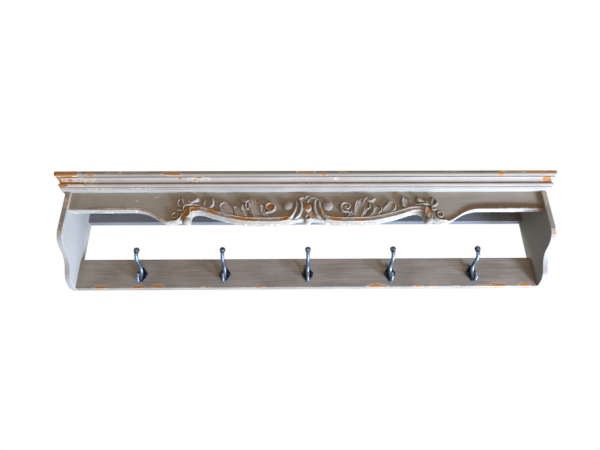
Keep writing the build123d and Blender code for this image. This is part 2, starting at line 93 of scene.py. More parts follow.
# %% camera
PICTURE_WIDTH = 600
FOCAL_PIXELS = 451
SENSOR = 36
TILT = 0.418
PAN = 0.015
ROLL = -0.010
CAMERA_PLACE = Vector((-33.9, -1101.5, -520.1)) * MM


def placed(name, data):
    """Puts an object with this data in the scene."""
    thing = bpy.data.objects.new(name, data)
    bpy.context.scene.collection.objects.link(thing)
    return thing


camera = placed("camera", bpy.data.cameras.new("camera"))
camera.data.sensor_width = SENSOR
camera.data.lens = FOCAL_PIXELS / PICTURE_WIDTH * SENSOR
camera.matrix_world = Matrix.Translation(CAMERA_PLACE)
for turn, axis in ((-PAN, "Z"), (pi / 2 + TILT, "X"), (ROLL, "Z")):
    camera.matrix_world @= Matrix.Rotation(turn, 4, axis)
bpy.context.scene.camera = camera
print("camera lens", round(camera.data.lens, 2), "mm")

# %% [markdown]
# ## Floor, background and lamps
#
# A pale floor lies far below the shelf. The background is white to the camera and in reflections
# only, so it adds no light of its own. Most light comes in as from a low window on the right,
# which turns the undersides and the left bracket's inside bright and cool. A weak warm lamp in
# front shows the colours, and two more lamps light the back, the top and the left side.

# %% light
FLOOR_Z = -2.6
FLOOR_SIZE = 7.0
AIM = Vector((0, -0.06, -0.1))
SKY_STRENGTH = 0.1
LAMPS = [
    ("window_low_right", (2.05, -0.7, -2.1), 0.8, 236, "#C6DCFF"),
    ("window_below", (1.2, 0.5, -2.2), 1.2, 105, "#D2E2FF"),
    ("front", (0.9, -4.6, -1.7), 2.0, 86, "#FFDAB8"),
    ("above_behind", (0.3, 1.0, 1.9), 1.6, 30, "#FFFFFF"),
    ("above_left", (-2.0, 0.25, 2.2), 1.2, 75, "#FFFFFF"),
]
MIX_A = 6
MIX_B = 7
MIX_RESULT = 2


def fill_sockets(node, inputs):
    """Fills a node's sockets with values or with links."""
    for socket, value in inputs.items():
        if isinstance(value, bpy.types.NodeSocket):
            node.id_data.links.new(value, node.inputs[socket])
        else:
            node.inputs[socket].default_value = value


def add_node(tree, kind, inputs=None, output=0, **settings):
    """Adds a node with its settings and links, and gives one of its outputs."""
    node = tree.nodes.new(kind)
    for name, value in settings.items():
        setattr(node, name, value)
    fill_sockets(node, inputs or {})
    return node.outputs[output] if node.outputs else None


def new_material(name):
    """A material, its Principled shader, and a function that adds nodes beside it."""
    material = bpy.data.materials.new(name)
    material.use_nodes = True
    tree = material.node_tree
    return material, tree.nodes["Principled BSDF"], partial(add_node, tree)


def linear(code):
    """An sRGB hex colour as a linear RGBA tuple."""
    channels = [int(code[i:i + 2], 16) / 255 for i in (1, 3, 5)]
    return (*[c / 12.92 if c <= 0.04045 else ((c + 0.055) / 1.055) ** 2.4 for c in channels], 1.0)


def soft_box(name, place, size, watts, colour):
    """A square lamp that faces the shelf and isn't seen by the camera."""
    lamp = placed(name, bpy.data.lights.new(name, "AREA"))
    lamp.data.size = size
    lamp.data.energy = watts
    lamp.data.color = linear(colour)[:3]
    facing = (AIM - Vector(place)).to_track_quat("-Z", "Y").to_matrix().to_4x4()
    lamp.matrix_world = Matrix.Translation(place) @ facing
    lamp.visible_camera = False


def seen_share(node):
    """1 where the camera looks, also by way of metal or glass, and 0 for the light itself."""
    rays = node("ShaderNodeLightPath").node.outputs
    seen = rays["Is Camera Ray"]
    for kind in ("Is Glossy Ray", "Is Transmission Ray"):
        seen = node("ShaderNodeMath", {0: seen, 1: rays[kind]}, operation="MAXIMUM")
    return seen


def white_world():
    """A dim sky for light, and plain white for the camera and for reflections."""
    world = bpy.data.worlds.new("white_room")
    world.use_nodes = True
    world.node_tree.nodes.clear()
    node = partial(add_node, world.node_tree)
    sky = node("ShaderNodeBackground", {"Color": linear("#FFEFD8"), "Strength": SKY_STRENGTH})
    white = node("ShaderNodeBackground", {"Color": (1, 1, 1, 1), "Strength": 1.0})
    both = node("ShaderNodeMixShader", {0: seen_share(node), 1: sky, 2: white})
    node("ShaderNodeOutputWorld", {"Surface": both})
    bpy.context.scene.world = world


def meshed(name, bm):
    """Puts a bmesh in the scene as an object."""
    mesh = bpy.data.meshes.new(name)
    bm.to_mesh(mesh)
    bm.free()
    return placed(name, mesh)


def pale_floor():
    """A plain matt floor, lifted to a pale tone where it's seen, which keeps its shadows."""
    bm = bmesh.new()
    bmesh.ops.create_grid(bm, x_segments=2, y_segments=2, size=FLOOR_SIZE / 2)
    bmesh.ops.translate(bm, vec=(0, 0, FLOOR_Z), verts=bm.verts)
    floor = meshed("floor", bm)
    material, shader, node = new_material("floor_paint")
    fill_sockets(shader, {"Base Color": linear("#E6E6E5"), "Roughness": 0.9,
                          "Emission Color": linear("#C8C8C7"), "Emission Strength": seen_share(node)})
    floor.data.materials.append(material)


white_world()
pale_floor()
for lamp in LAMPS:
    soft_box(*lamp)
bpy.context.scene.view_settings.view_transform = "Standard"
print("light:", len(LAMPS), "soft boxes, floor at", FLOOR_Z)

# %% [markdown]
# ## Where the paint is worn
#
# Paint goes first from ridges, and glaze stays in hollows. So each piece measures how sharply its
# surface bends at every vertex, and writes that in a colour attribute: red is ridge, green is
# hollow, glaze and painted shade, and blue is bare wood. Some places are rubbed, glazed or given
# painted shade whatever their form, and these are listed: x, height, half width, half height and
# strength, in millimetres. Each board has narrow strips of faces beside its edges that can hold such patches.

# %% wear
SHARP = 1.6 * MM
EVERYWHERE = 2000
FRONT_FROM = 0.45
FRONT_SPAN = 0.3


def read(piece, name="co", things="vertices", width=3, kind=float):
    """One property of a piece's vertices or edges, as an array."""
    collection = getattr(piece.data, things)
    values = np.empty(len(collection) * width, dtype=kind)
    collection.foreach_get(name, values)
    return values.reshape(-1, width)


def new_piece(name, bm, nodes):
    """Makes a piece from a bmesh, in place of its CAD nodes."""
    bmesh.ops.recalc_face_normals(bm, faces=bm.faces)
    piece = meshed(name, bm)
    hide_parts(*nodes)
    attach(piece, "root")
    return piece


def spread(edge, value, rounds):
    """Averages a value over each vertex's neighbours."""
    count = len(value)
    degree = np.bincount(edge.ravel(), minlength=count)
    for _ in range(rounds):
        total = np.bincount(edge[:, 0], value[edge[:, 1]], count)
        total += np.bincount(edge[:, 1], value[edge[:, 0]], count)
        value = 0.5 * value + 0.5 * total / np.maximum(degree, 1)
    return value


def in_places(piece, places, base=0.0, depth=20.0):
    """How far each vertex near the piece's front lies in the listed places, times their strength."""
    x, y, z = (read(piece) / MM).T
    share = np.zeros(len(x))
    for middle, rise, half_width, half_height, strength in places:
        out = ((x - middle) / half_width) ** 2 + ((z - base - rise) / half_height) ** 2
        share = np.maximum(share, strength * np.exp(-out ** 2))
    return share * (y < y.min() + depth)


def facing_front(piece):
    """1 for what faces the front, 0 for undersides and sides."""
    return np.clip((-read(piece, "normal")[:, 1] - FRONT_FROM) / FRONT_SPAN, 0, 1)


def finish_piece(piece, material, bare=0.0, glaze_and_shade=0.0, rounds=1, sharp=None):
    """Writes ridge, hollow with glaze and painted shade, and bare wood into a colour attribute, and gives the
    piece its finish.
    """
    place, normal = read(piece), read(piece, "normal")
    edge = read(piece, "vertices", "edges", 2, int)
    first, second = edge.T
    along = place[second] - place[first]
    length2 = np.maximum((along ** 2).sum(axis=1), 1e-12)
    bend = np.bincount(first, (along * normal[first]).sum(axis=1) / length2, len(place))
    bend -= np.bincount(second, (along * normal[second]).sum(axis=1) / length2, len(place))
    bend *= -2 / np.maximum(np.bincount(edge.ravel(), minlength=len(place)), 1)
    bend = spread(edge, bend * SHARP, rounds)
    hollow = np.maximum(np.clip(-bend, 0, 1), glaze_and_shade)
    colour = np.stack([np.clip(bend, 0, 1), hollow, bare + 0 * bend, np.ones(len(place))], axis=1)
    piece.data.color_attributes.new("wear_and_shade", "FLOAT_COLOR", "POINT").data.foreach_set("color", colour.ravel())
    piece.data.shade_smooth()
    piece.data.materials.clear()
    piece.data.materials.append(material)
    if sharp:
        piece.data.set_sharp_from_angle(angle=sharp)
    return piece


print("wear is measured over bends of about", round(SHARP / MM, 1), "mm")

# %% [markdown]
# ## The paint
#
# Chalky emulsion paint brushed on softwood, with a brown glaze wiped over it and a coat of wax.
# It gives the eye four things: faint strokes that run with the board, a soft brown that gathers
# in corners, which is glaze and painted shade, orange-brown wood with a ragged edge where it's
# rubbed through, and a rim of pale primer round each such patch, which on the carving's crests is
# also a painted highlight. The IOR is the usual 1.5, and the specular level is half the usual one,
# because chalk at the surface breaks up what little it reflects. The hook rail was painted thinly,
# so its grain shows as dark lines. The hanging rail's darker slate grey is painted shade for its
# place behind the apron, the mouldings' lighter grey is painted light on their lit undersides, and
# the brackets' cooler grey is painted cool light from the low window.

# %% paint material
STROKE_WIDTH = 6 * MM
STROKE_LENGTH = 120 * MM
GRAIN_WIDTH = 1.5 * MM
GRAIN_LENGTH = 60 * MM
RAGGED = 7 * MM
CLOUD = 70 * MM
# This brown stands for glaze and also for painted shade in creases and on shadowed sides.
BROWN_GLAZE_AND_SHADE = "#644D37"
DARK_GRAIN = "#4E463D"
PRIMER_AND_HIGHLIGHT = "#DFD6C6"
PALE_WOOD = "#BC8850"
DARK_WOOD = "#8A5E38"


def stretched(direction, length, width):
    """Mapping scale of a pattern that runs along one axis."""
    return tuple(1 / length if axis == direction else 1 / width for axis in "XYZ")


def distressed_paint(name, direction, paint, shade, ridge_wear=0.3, pale_share=0.5, grain_share=0.06):
    """Waxed matt paint, glazed and given painted shade in hollows and listed places, and worn to the wood."""
    material, shader, node = new_material(name)
    place = node("ShaderNodeTexCoord", output="Object")
    wear_and_shade = node("ShaderNodeAttribute", output="Color", attribute_name="wear_and_shade")
    ridge, hollow, bare = node("ShaderNodeSeparateColor", {"Color": wear_and_shade}).node.outputs[:3]
    brushed, sawn = [
        node("ShaderNodeMapping", {"Vector": place, "Scale": stretched(direction, length, width)})
        for length, width in ((STROKE_LENGTH, STROKE_WIDTH), (GRAIN_LENGTH, GRAIN_WIDTH))]
    strokes, grain, clouds, ragged = [
        node("ShaderNodeTexNoise", {"Vector": vector, "Scale": scale, "Detail": detail, "Roughness": rough})
        for vector, scale, detail, rough in (
            (brushed, 1.0, 2.0, 0.5), (sawn, 1.0, 4.0, 0.5),
            (place, 1 / CLOUD, 3.0, 0.5), (place, 1 / RAGGED, 5.0, 0.65))]

    cloudy = node("ShaderNodeMath", {0: strokes, 1: clouds}, operation="ADD")
    frayed = node("ShaderNodeMath", {0: ragged, 1: 1.2, 2: -0.6}, operation="MULTIPLY_ADD")
    chance = node("ShaderNodeMath", {0: ridge, 1: ridge_wear, 2: frayed}, operation="MULTIPLY_ADD")
    chance = node("ShaderNodeMath", {0: chance, 1: bare}, operation="ADD")
    tone, lines, primer_and_highlight, worn = [
        node("ShaderNodeMapRange", {"Value": value, "From Min": low, "From Max": high, "To Max": most},
             interpolation_type="SMOOTHSTEP")
        for value, low, high, most in (
            (cloudy, 0.76, 1.24, 1.0), (grain, 0.52, 0.66, grain_share),
            (chance, 0.33, 0.45, pale_share), (chance, 0.45, 0.56, 1.0))]
    clinging, streak = [
        node("ShaderNodeMapRange", {"Value": value, "From Min": low, "From Max": high,
                                    "To Min": least, "To Max": most})
        for value, low, high, least, most in ((ragged, 0.25, 0.7, 0.6, 1.1), (grain, 0.35, 0.65, 0.0, 1.0))]
    glaze_and_shade = node("ShaderNodeMath", {0: hollow, 1: clinging}, operation="MULTIPLY", use_clamp=True)

    wood = node("ShaderNodeMix", {0: streak, MIX_A: linear(PALE_WOOD), MIX_B: linear(DARK_WOOD)}, MIX_RESULT,
                data_type="RGBA")
    colour = linear(paint)
    for share, cover in ((tone, linear(shade)), (lines, linear(DARK_GRAIN)), (glaze_and_shade, linear(BROWN_GLAZE_AND_SHADE)),
                         (primer_and_highlight, linear(PRIMER_AND_HIGHLIGHT)), (worn, wood)):
        colour = node("ShaderNodeMix", {0: share, MIX_A: colour, MIX_B: cover}, MIX_RESULT, data_type="RGBA")

    height = node("ShaderNodeMath", {0: strokes, 1: 0.3, 2: ragged}, operation="MULTIPLY_ADD")
    height = node("ShaderNodeMath", {0: worn, 1: -0.9, 2: height}, operation="MULTIPLY_ADD")
    bump = node("ShaderNodeBump", {"Height": height, "Distance": 0.2 * MM, "Strength": 0.5})
    dull = node("ShaderNodeMapRange", {"Value": worn, "To Min": 0.6, "To Max": 0.75})
    fill_sockets(shader, {"Base Color": colour, "Normal": bump, "Roughness": dull,
                          "Specular IOR Level": 0.25})
    return material


paint_along = distressed_paint("chalk_paint_along", "X", "#9B9587", "#928C7E", 0.3, 0.8)
# Painted light: a cooler grey for the brackets, for the cool window light on their insides.
paint_upright_cool_lit = distressed_paint("chalk_paint_upright_cool_lit", "Z", "#9A968E", "#96928A", grain_share=0.03)
# Painted light: a lighter grey for the mouldings, whose undersides catch the low light.
paint_moulded_lit = distressed_paint("chalk_paint_moulded_lit", "X", "#B1ABA0", "#A7A195", 0.3, 0.7)
# Painted highlight: much pale primer on the carving's crests stands for their bright cream highlights.
paint_carved = distressed_paint("chalk_paint_carved", "X", "#9F978A", "#90887B", 0.45, 0.9, 0.0)
paint_rail = distressed_paint("chalk_paint_rail", "X", "#918A7E", "#7F776C", grain_share=0.3)
# Painted shade: a darker grey for the hanging rail, which lies in shade behind the apron.
paint_slate_shaded = distressed_paint("slate_paint_rail_shaded", "X", "#707072", "#66676B", 0.1)
print("paint:", [m.name for m in bpy.data.materials if "paint_" in m.name])

# %% [markdown]
# ## Boards
#
# The hook rail and the shelf are plain boards. Each starts as a cube scaled to its node's box.
# Planes cut it near its edges and across its faces, a bevel rounds its edges as sandpaper would, and
# its long edges are divided, so that wear can start and stop anywhere. The hanging rail is a copy
# of its node's mesh with its triangles joined.

# %% boards
LIP_BARE = [
    (-582, 37, 38, 9, 1), (-522, 33, 9, 5, 0.9), (-468, 37, 20, 2, 0.9), (-440, 40, 12, 1.5, 0.8),
    (-325, 35.5, 26, 5, 1), (-3, 38.5, 27, 3.5, 0.95), (39, 32, 7, 6, 1), (85, 37, 10, 3, 0.9),
    (355, 42, 20, 2.5, 0.8), (470, 32, 8, 8, 1), (500, 40, 30, 2.5, 0.85), (560, 37.5, 45, 4, 0.9),
    (600, 38, 14, 4, 0.8), (-410, 39, 40, 1.5, 0.7),
]
# Painted shade: the bands along the whole lip darken its upturned top and the gap above the cove; the short
# band darkens the top at the right end.
LIP_SHADE_AND_GLAZE = [(0, 40, EVERYWHERE, 3.5, 0.75), (470, 41, 170, 3, 1), (0, 30, EVERYWHERE, 1, 0.3)]
RAIL_BARE = [
    (-512, -205, 19, 4, 1), (-416, -205, 19, 4, 0.9), (-369, -204, 17, 4, 0.95), (-250, -206, 16, 2, 0.6),
    (-120, -206, 16, 3, 0.8), (172, -205, 30, 4, 0.9), (276, -206, 13, 3, 0.9), (310, -206, 9, 3, 0.8),
    (448, -206, 34, 2.2, 0.9), (475, -204.5, 26, 4.5, 0.95), (542, -204, 16, 5, 1), (370, -206, 25, 1.5, 0.5),
]
# The patches at both ends, by the brackets, are painted shade; the others are soft stains.
RAIL_STAINS_AND_SHADE = [
    (-575, -160, 22, 60, 0.35), (-345, -160, 40, 22, 0.25), (-280, -140, 60, 12, 0.15),
    (-150, -165, 45, 18, 0.15), (60, -160, 40, 22, 0.2), (265, -165, 45, 20, 0.2), (455, -160, 40, 20, 0.22),
    (570, -160, 26, 60, 0.3),
]
LIP_RADIUS = 5 * MM
SANDED = 1 * MM
STRIP = 1.8 * MM
LEDGE = 40 * MM
RAIL_STEP = 6 * MM
RAIL_ROWS = 12
LIP_CUTS = 240
RAIL_CUTS = 280
STRAIGHT = 0.999
FLAT_ANGLE = 0.02


def board_mesh(low, high, cuts):
    """A cube scaled to a box and cut by planes, given as (axis, places)."""
    bm = bmesh.new()
    bmesh.ops.create_cube(bm, size=1.0)
    bmesh.ops.scale(bm, vec=high - low, verts=bm.verts)
    bmesh.ops.translate(bm, vec=(high + low) / 2, verts=bm.verts)
    for axis, places in cuts:
        for place in places:
            point, normal = Vector(), Vector()
            point[axis], normal[axis] = place, 1
            everything = bm.verts[:] + bm.edges[:] + bm.faces[:]
            bmesh.ops.bisect_plane(bm, geom=everything, plane_co=point, plane_no=normal)
    return bm


def round_edges(bm, edges, radius, segments=3):
    """Rounds edges by a bevel."""
    bmesh.ops.bevel(bm, geom=edges, offset=radius, offset_type="OFFSET", segments=segments,
                    profile=0.5, affect="EDGES", material=-1, clamp_overlap=True)


def divide_along(bm, cuts):
    """Divides the long edges that run along x."""
    turned = []
    for edge in bm.edges:
        way = edge.verts[1].co - edge.verts[0].co
        if abs(way.x) > STRAIGHT * way.length and way.length > 2 * LEDGE:
            turned.append(edge)
    bmesh.ops.subdivide_edges(bm, edges=turned, cuts=cuts, use_grid_fill=True)


def corner_edges(bm, angle=CORNER_ANGLE):
    """Edges at which a mesh turns by more than an angle."""
    return [e for e in bm.edges if e.is_manifold and e.calc_face_angle() > angle]


def shelf_board():
    """The top board: a round lip on its front and ends, a softened upper edge."""
    inset = LIP_RADIUS + STRIP
    bm = board_mesh(shelf_low, shelf_high, [
        (1, [shelf_low.y + step for step in (inset, inset + 4 * MM, LEDGE, 2 * LEDGE)]),
        (0, [shelf_low.x + inset, shelf_low.x + LEDGE, shelf_high.x - LEDGE, shelf_high.x - inset]),
        (2, [shelf_low.z + inset, shelf_high.z - SANDED - STRIP])])
    shown = [e for e in corner_edges(bm) if e.verts[0].co.y + e.verts[1].co.y < -2 * MM
             and abs(e.verts[0].co.z - e.verts[1].co.z) < MM]
    lower = [e for e in shown if e.verts[0].co.z < shelf_low.z + MM]
    upper = [e for e in shown if e.verts[0].co.z > shelf_high.z - MM]
    round_edges(bm, lower, LIP_RADIUS, segments=6)
    round_edges(bm, [e for e in upper if e.is_valid], SANDED)
    divide_along(bm, LIP_CUTS)
    piece = new_piece("shelf_top_board", bm, ["shelf_board"])
    return finish_piece(piece, paint_along, in_places(piece, LIP_BARE, depth=7),
                        in_places(piece, LIP_SHADE_AND_GLAZE, depth=9))


def hook_rail():
    """The lower rail, cut into rows that can hold its soft stains."""
    inset = SANDED + STRIP
    rows = [rail_low.z + step * RAIL_STEP for step in range(1, RAIL_ROWS)]
    bm = board_mesh(rail_low, rail_high, [
        (2, [rail_low.z + inset, *rows, rail_high.z - inset]),
        (1, [rail_low.y + inset, rail_low.y + 8 * MM, rail_high.y - inset]),
        (0, [rail_low.x + inset, rail_high.x - inset])])
    round_edges(bm, corner_edges(bm), SANDED)
    divide_along(bm, RAIL_CUTS)
    piece = new_piece("hook_rail_board", bm, ["lower_hook_rail"])
    return finish_piece(piece, paint_rail, in_places(piece, RAIL_BARE, depth=3),
                        in_places(piece, RAIL_STAINS_AND_SHADE, depth=1))


def merged_copy(name, node, slot, material, radius=0):
    """A copy of a node's mesh with its triangles joined, and its edges softened."""
    bm = bmesh.new()
    bm.from_mesh(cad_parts[node].data)
    bmesh.ops.remove_doubles(bm, verts=bm.verts, dist=TOUCHING)
    bmesh.ops.dissolve_limit(bm, angle_limit=FLAT_ANGLE, verts=bm.verts, edges=bm.edges)
    if radius:
        round_edges(bm, corner_edges(bm), radius, segments=2)
    return finish_piece(new_piece(name, bm, [node]), material, rounds=0, sharp=0.6)


shelf_piece = shelf_board()
rail_piece = hook_rail()
upper_piece = merged_copy("hanging_rail_board", "upper_back_rail", "painted_wood", paint_slate_shaded)
print("boards:", [(p.name, len(p.data.vertices)) for p in (shelf_piece, rail_piece, upper_piece)])

# %% [markdown]
# ## Side brackets and apron
#
# Both are boards with one curved edge. A grid is stretched between the straight edge and the
# curve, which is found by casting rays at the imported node, so the two can't disagree. The grid is
# then pushed back by the board's thickness. The brackets' noses are rounded by a bevel, and the
# apron's lower arris, whose wave has corners that a bevel would choke on, by setting its lowest
# rows back on a quarter circle.

# %% curved boards
NOSE_RADIUS = 2.6 * MM
NOSE_REACH = 4 * MM
BRACKET_GRID = (18, 170)
ROWS_CLOSE_UP = 1.3
ARRIS_RADIUS = 1.2 * MM
ARRIS_ROWS = [0, 0.12, 0.45, 1.0, 2.6, 5]
APRON_GRID = (520, 36)
END_MARGIN = 0.1 * MM
EDGE_SPOTS = 600
JUST_INSIDE = 0.02 * MM
NOSE_BARE = {"right": [(-25, 25, 0.42), (-112, 12, 0.42)], "left": [(-30, 16, 0.46), (-95, 25, 0.38)]}
NOSE_GLAZED = {"right": [(-90, 150, 0.25)],
               "left": [(-90, 150, 0.05), (-20, 35, 0.4), (-80, 22, 0.35)]}
APRON_BARE = [
    (-414, 24, 9, 3.4, 0.46), (-364, 33, 11, 3.4, 0.46), (14, 8, 3, 9, 0.9), (12, -16, 6, 10, 0.9),
    (-14, 6, 2, 7, 0.5),
]
EDGE_BARE = [(-468, 3.5, 55, 2, 0.54), (-405, 4, 45, 2.2, 0.54), (-355, 3, 32, 2.6, 0.6),
             (500, 1.5, 60, 1, 0.4)]


def node_tree(node):
    """A search tree over a node's triangles."""
    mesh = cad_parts[node].data
    return BVHTree.FromPolygons([v.co for v in mesh.vertices], [tuple(p.vertices) for p in mesh.polygons])


def grid_mesh(columns, rows):
    """A flat grid whose corners are whole numbers, from 0 to its count each way."""
    bm = bmesh.new()
    bmesh.ops.create_grid(bm, x_segments=columns, y_segments=rows, size=0.5)
    bmesh.ops.translate(bm, vec=(0.5, 0.5, 0), verts=bm.verts)
    bmesh.ops.scale(bm, vec=(columns, rows, 1), verts=bm.verts)
    return bm


def held(step, count, length, margin):
    """Place of a grid line along a length, with the first and last cell as narrow as the margin."""
    if step < 0.5:
        return 0.0
    if step > count - 0.5:
        return length
    return margin + (step - 1) / (count - 2) * (length - 2 * margin)


def moved_corners(made):
    """The corners among what an extrusion made."""
    return [g for g in made["geom"] if isinstance(g, bmesh.types.BMVert)]


def thicken(bm, push):
    """Pushes a copy of the surface back, closes the sides, and gives the moved corners."""
    moved = moved_corners(bmesh.ops.extrude_face_region(bm, geom=bm.faces[:], use_keep_orig=True))
    bmesh.ops.translate(bm, vec=push, verts=moved)
    bmesh.ops.recalc_face_normals(bm, faces=bm.faces)
    return moved


def bracket_front(tree, middle_x, z):
    """Y of the bracket's front edge at a height."""
    inside = min(max(z, bracket_low.z + JUST_INSIDE), bracket_high.z - JUST_INSIDE)
    return tree.ray_cast(Vector((middle_x, -1, inside)), Vector((0, 1, 0)))[0].y


def at_heights(piece, places):
    """A share by height alone, from (height, half height, strength)."""
    z = read(piece)[:, 2] / MM
    share = np.zeros(len(z))
    for height, half_height, strength in places:
        share = np.maximum(share, strength * np.exp(-((z - height) / half_height) ** 4))
    return share


def side_bracket(side, word):
    """An upright board whose front edge falls in an S to a small toe at the wall."""
    tree = node_tree("side_bracket_" + word)
    height = bracket_high.z - bracket_low.z
    middle_x = side * (half_inner + half_case) / 2
    bm = grid_mesh(*BRACKET_GRID)
    for vert in bm.verts:
        rise = held(vert.co.y, BRACKET_GRID[1], height, NOSE_RADIUS + STRIP)
        z = bracket_low.z + height * (rise / height) ** ROWS_CLOSE_UP
        front = bracket_front(tree, middle_x, z)
        depth = held(vert.co.x, BRACKET_GRID[0], -front, NOSE_RADIUS + STRIP)
        vert.co = Vector((side * half_inner, -depth, z))
    thicken(bm, (side * (half_case - half_inner), 0, 0))
    crosswise = [e for e in bm.edges if abs(e.verts[0].co.x - e.verts[1].co.x) > MM]
    bmesh.ops.subdivide_edges(bm, edges=crosswise, cuts=3, use_grid_fill=True)
    nose = [e for e in corner_edges(bm) if min(v.co.z for v in e.verts) < bracket_high.z - MM
            and max(v.co.y for v in e.verts) < -5 * MM]
    round_edges(bm, nose, NOSE_RADIUS, segments=4)
    piece = new_piece("bracket_" + word, bm, ["side_bracket_" + word])
    depth = np.array([y - bracket_front(tree, middle_x, z) for _, y, z in read(piece)])
    near = np.exp(-(depth / NOSE_REACH) ** 2)
    return finish_piece(piece, paint_upright_cool_lit, near * at_heights(piece, NOSE_BARE[word]),
                        near * at_heights(piece, NOSE_GLAZED[word]), sharp=CORNER_ANGLE)


def lower_edge(tree, x):
    """Height of the apron's lower edge at x, in metres."""
    inner = min(max(x, -half_inner + END_MARGIN), half_inner - END_MARGIN)
    return tree.ray_cast(Vector((inner, face_y + 0.5 * MM, -1)), Vector((0, 0, 1)))[0].z


def edge_heights(piece, tree):
    """Height of the apron's lower edge below each vertex of a piece, in millimetres."""
    spots = np.linspace(-half_inner + END_MARGIN, half_inner - END_MARGIN, EDGE_SPOTS)
    heights = [lower_edge(tree, spot) / MM for spot in spots]
    return np.interp(read(piece)[:, 0], spots, heights)


def apron(tree):
    """The frieze board, with its waved lower edge."""
    columns, rows = APRON_GRID
    places = [(2 * column / columns - 1) * half_inner for column in range(columns + 1)]
    lows = [lower_edge(tree, x) for x in places]
    first = ARRIS_ROWS[-1] * MM
    bm = grid_mesh(columns, rows)
    for vert in bm.verts:
        column, row = round(vert.co.x), round(vert.co.y)
        if row < len(ARRIS_ROWS):
            rise = ARRIS_ROWS[row] * MM
        else:
            share = (row - len(ARRIS_ROWS) + 1) / (rows - len(ARRIS_ROWS) + 1)
            rise = first + share * (apron_high.z - lows[column] - first)
        short = max(ARRIS_RADIUS - rise, 0)
        back = ARRIS_RADIUS - sqrt(ARRIS_RADIUS ** 2 - short ** 2)
        vert.co = Vector((places[column], face_y + back, lows[column] + rise))
    for vert in thicken(bm, (0, apron_high.y - apron_low.y, 0)):
        vert.co.y = apron_high.y
    return new_piece("apron_frieze_board", bm, ["apron_board"])


brackets = [side_bracket(1, "right"), side_bracket(-1, "left")]
apron_tree = node_tree("apron_board")
apron_piece = apron(apron_tree)
print("curved boards:", [(p.name, len(p.data.vertices)) for p in brackets + [apron_piece]])

# %% [markdown]
# ## The cornice mouldings
#
# Under the shelf run a cove and a bed moulding, cut on mitres at the corners. A section is drawn
# once as (overhang, height) points, made a face, and swept in steps along the shelf. The sweep's
# ends are then slanted: a point that stands out further reaches further along, which is a mitre.

# %% mouldings
FRONT_STEPS = 300
RETURN_STEPS = 30
SECTION_BACK = -6.9
CORNICE_BARE = [
    (-580, 29, 36, 2.5, 1), (-600, 22, 10, 6, 0.9), (-570, 24, 22, 1.8, 0.6), (-573, 17, 34, 3.5, 1),
    (-545, 15, 12, 2, 0.7), (-590, 9, 15, 5, 1), (-545, 20, 55, 10, 0.44), (-545, 10, 42, 3, 0.44),
    (-500, 3, 45, 2.2, 0.46), (-395, 3, 40, 2, 0.44), (-308, 26, 6, 3, 0.8),
    (-335, 27, 3, 1.5, 0.7), (-264, 24, 40, 6, 0.46), (-262, 27, 5, 2, 0.7), (584, 22, 13, 9, 1),
    (572, 15, 18, 1.6, 0.9), (-46, 13, 30, 1.5, 0.9), (5, 13, 18, 1, 0.5), (70, 24, 8, 4, 0.42),
]
# Painted shade: the lines along the whole length darken the creases at the top of the cove, at its foot,
# where cove meets bed and in the bed's quirk; the patch at the right end is glaze on the worn end.
CORNICE_SHADE_AND_GLAZE = [(0, 16.3, EVERYWHERE, 1.2, 0.9), (0, 13.3, EVERYWHERE, 0.9, 0.5),
                  (0, 6.6, EVERYWHERE, 0.6, 0.5), (0, 29, EVERYWHERE, 1.2, 0.8),
                  (608, 15, 11, 30, 0.45)]


def arc_points(start, through, end, count):
    """Points on the circle through three points, start and end included."""
    (ax, az), (bx, bz), (cx, cz) = start, through, end
    d = 2 * (ax * (bz - cz) + bx * (cz - az) + cx * (az - bz))
    sa, sb, sc = ax * ax + az * az, bx * bx + bz * bz, cx * cx + cz * cz
    centre = Vector(((sa * (bz - cz) + sb * (cz - az) + sc * (az - bz)) / d,
                     (sa * (cx - bx) + sb * (ax - cx) + sc * (bx - ax)) / d))
    spoke = Vector(start) - centre
    turn = spoke.angle_signed(Vector(end) - centre)
    return [centre + Matrix.Rotation(-turn * i / count, 2) @ spoke for i in range(count + 1)]


def crown_section():
    """Cove moulding: a fillet, a hollow and a flat, as (overhang, height)."""
    low, high = crown_low.z / MM, crown_high.z / MM
    hollow = arc_points((11.5, low + 2), (14.2, (low + high) / 2 + 0.3), (18.5, high - 2.5), 9)
    return [(SECTION_BACK, low), (11.5, low), *hollow, (18.5, high), (SECTION_BACK, high)]


def bed_section():
    """Bed moulding: two soft rounds with a quirk between them."""
    low, high = bed_low.z / MM, bed_high.z / MM
    lower = arc_points((7, low + 0.8), (8.9, low + 3), (9.8, low + 5.8), 5)
    upper = arc_points((10.6, low + 6.6), (12.5, low + 9), (13.5, high - 1.2), 6)
    return [(SECTION_BACK, low), (7, low), *lower, (9.8, low + 6.6), *upper, (13.5, high),
            (SECTION_BACK, high)]


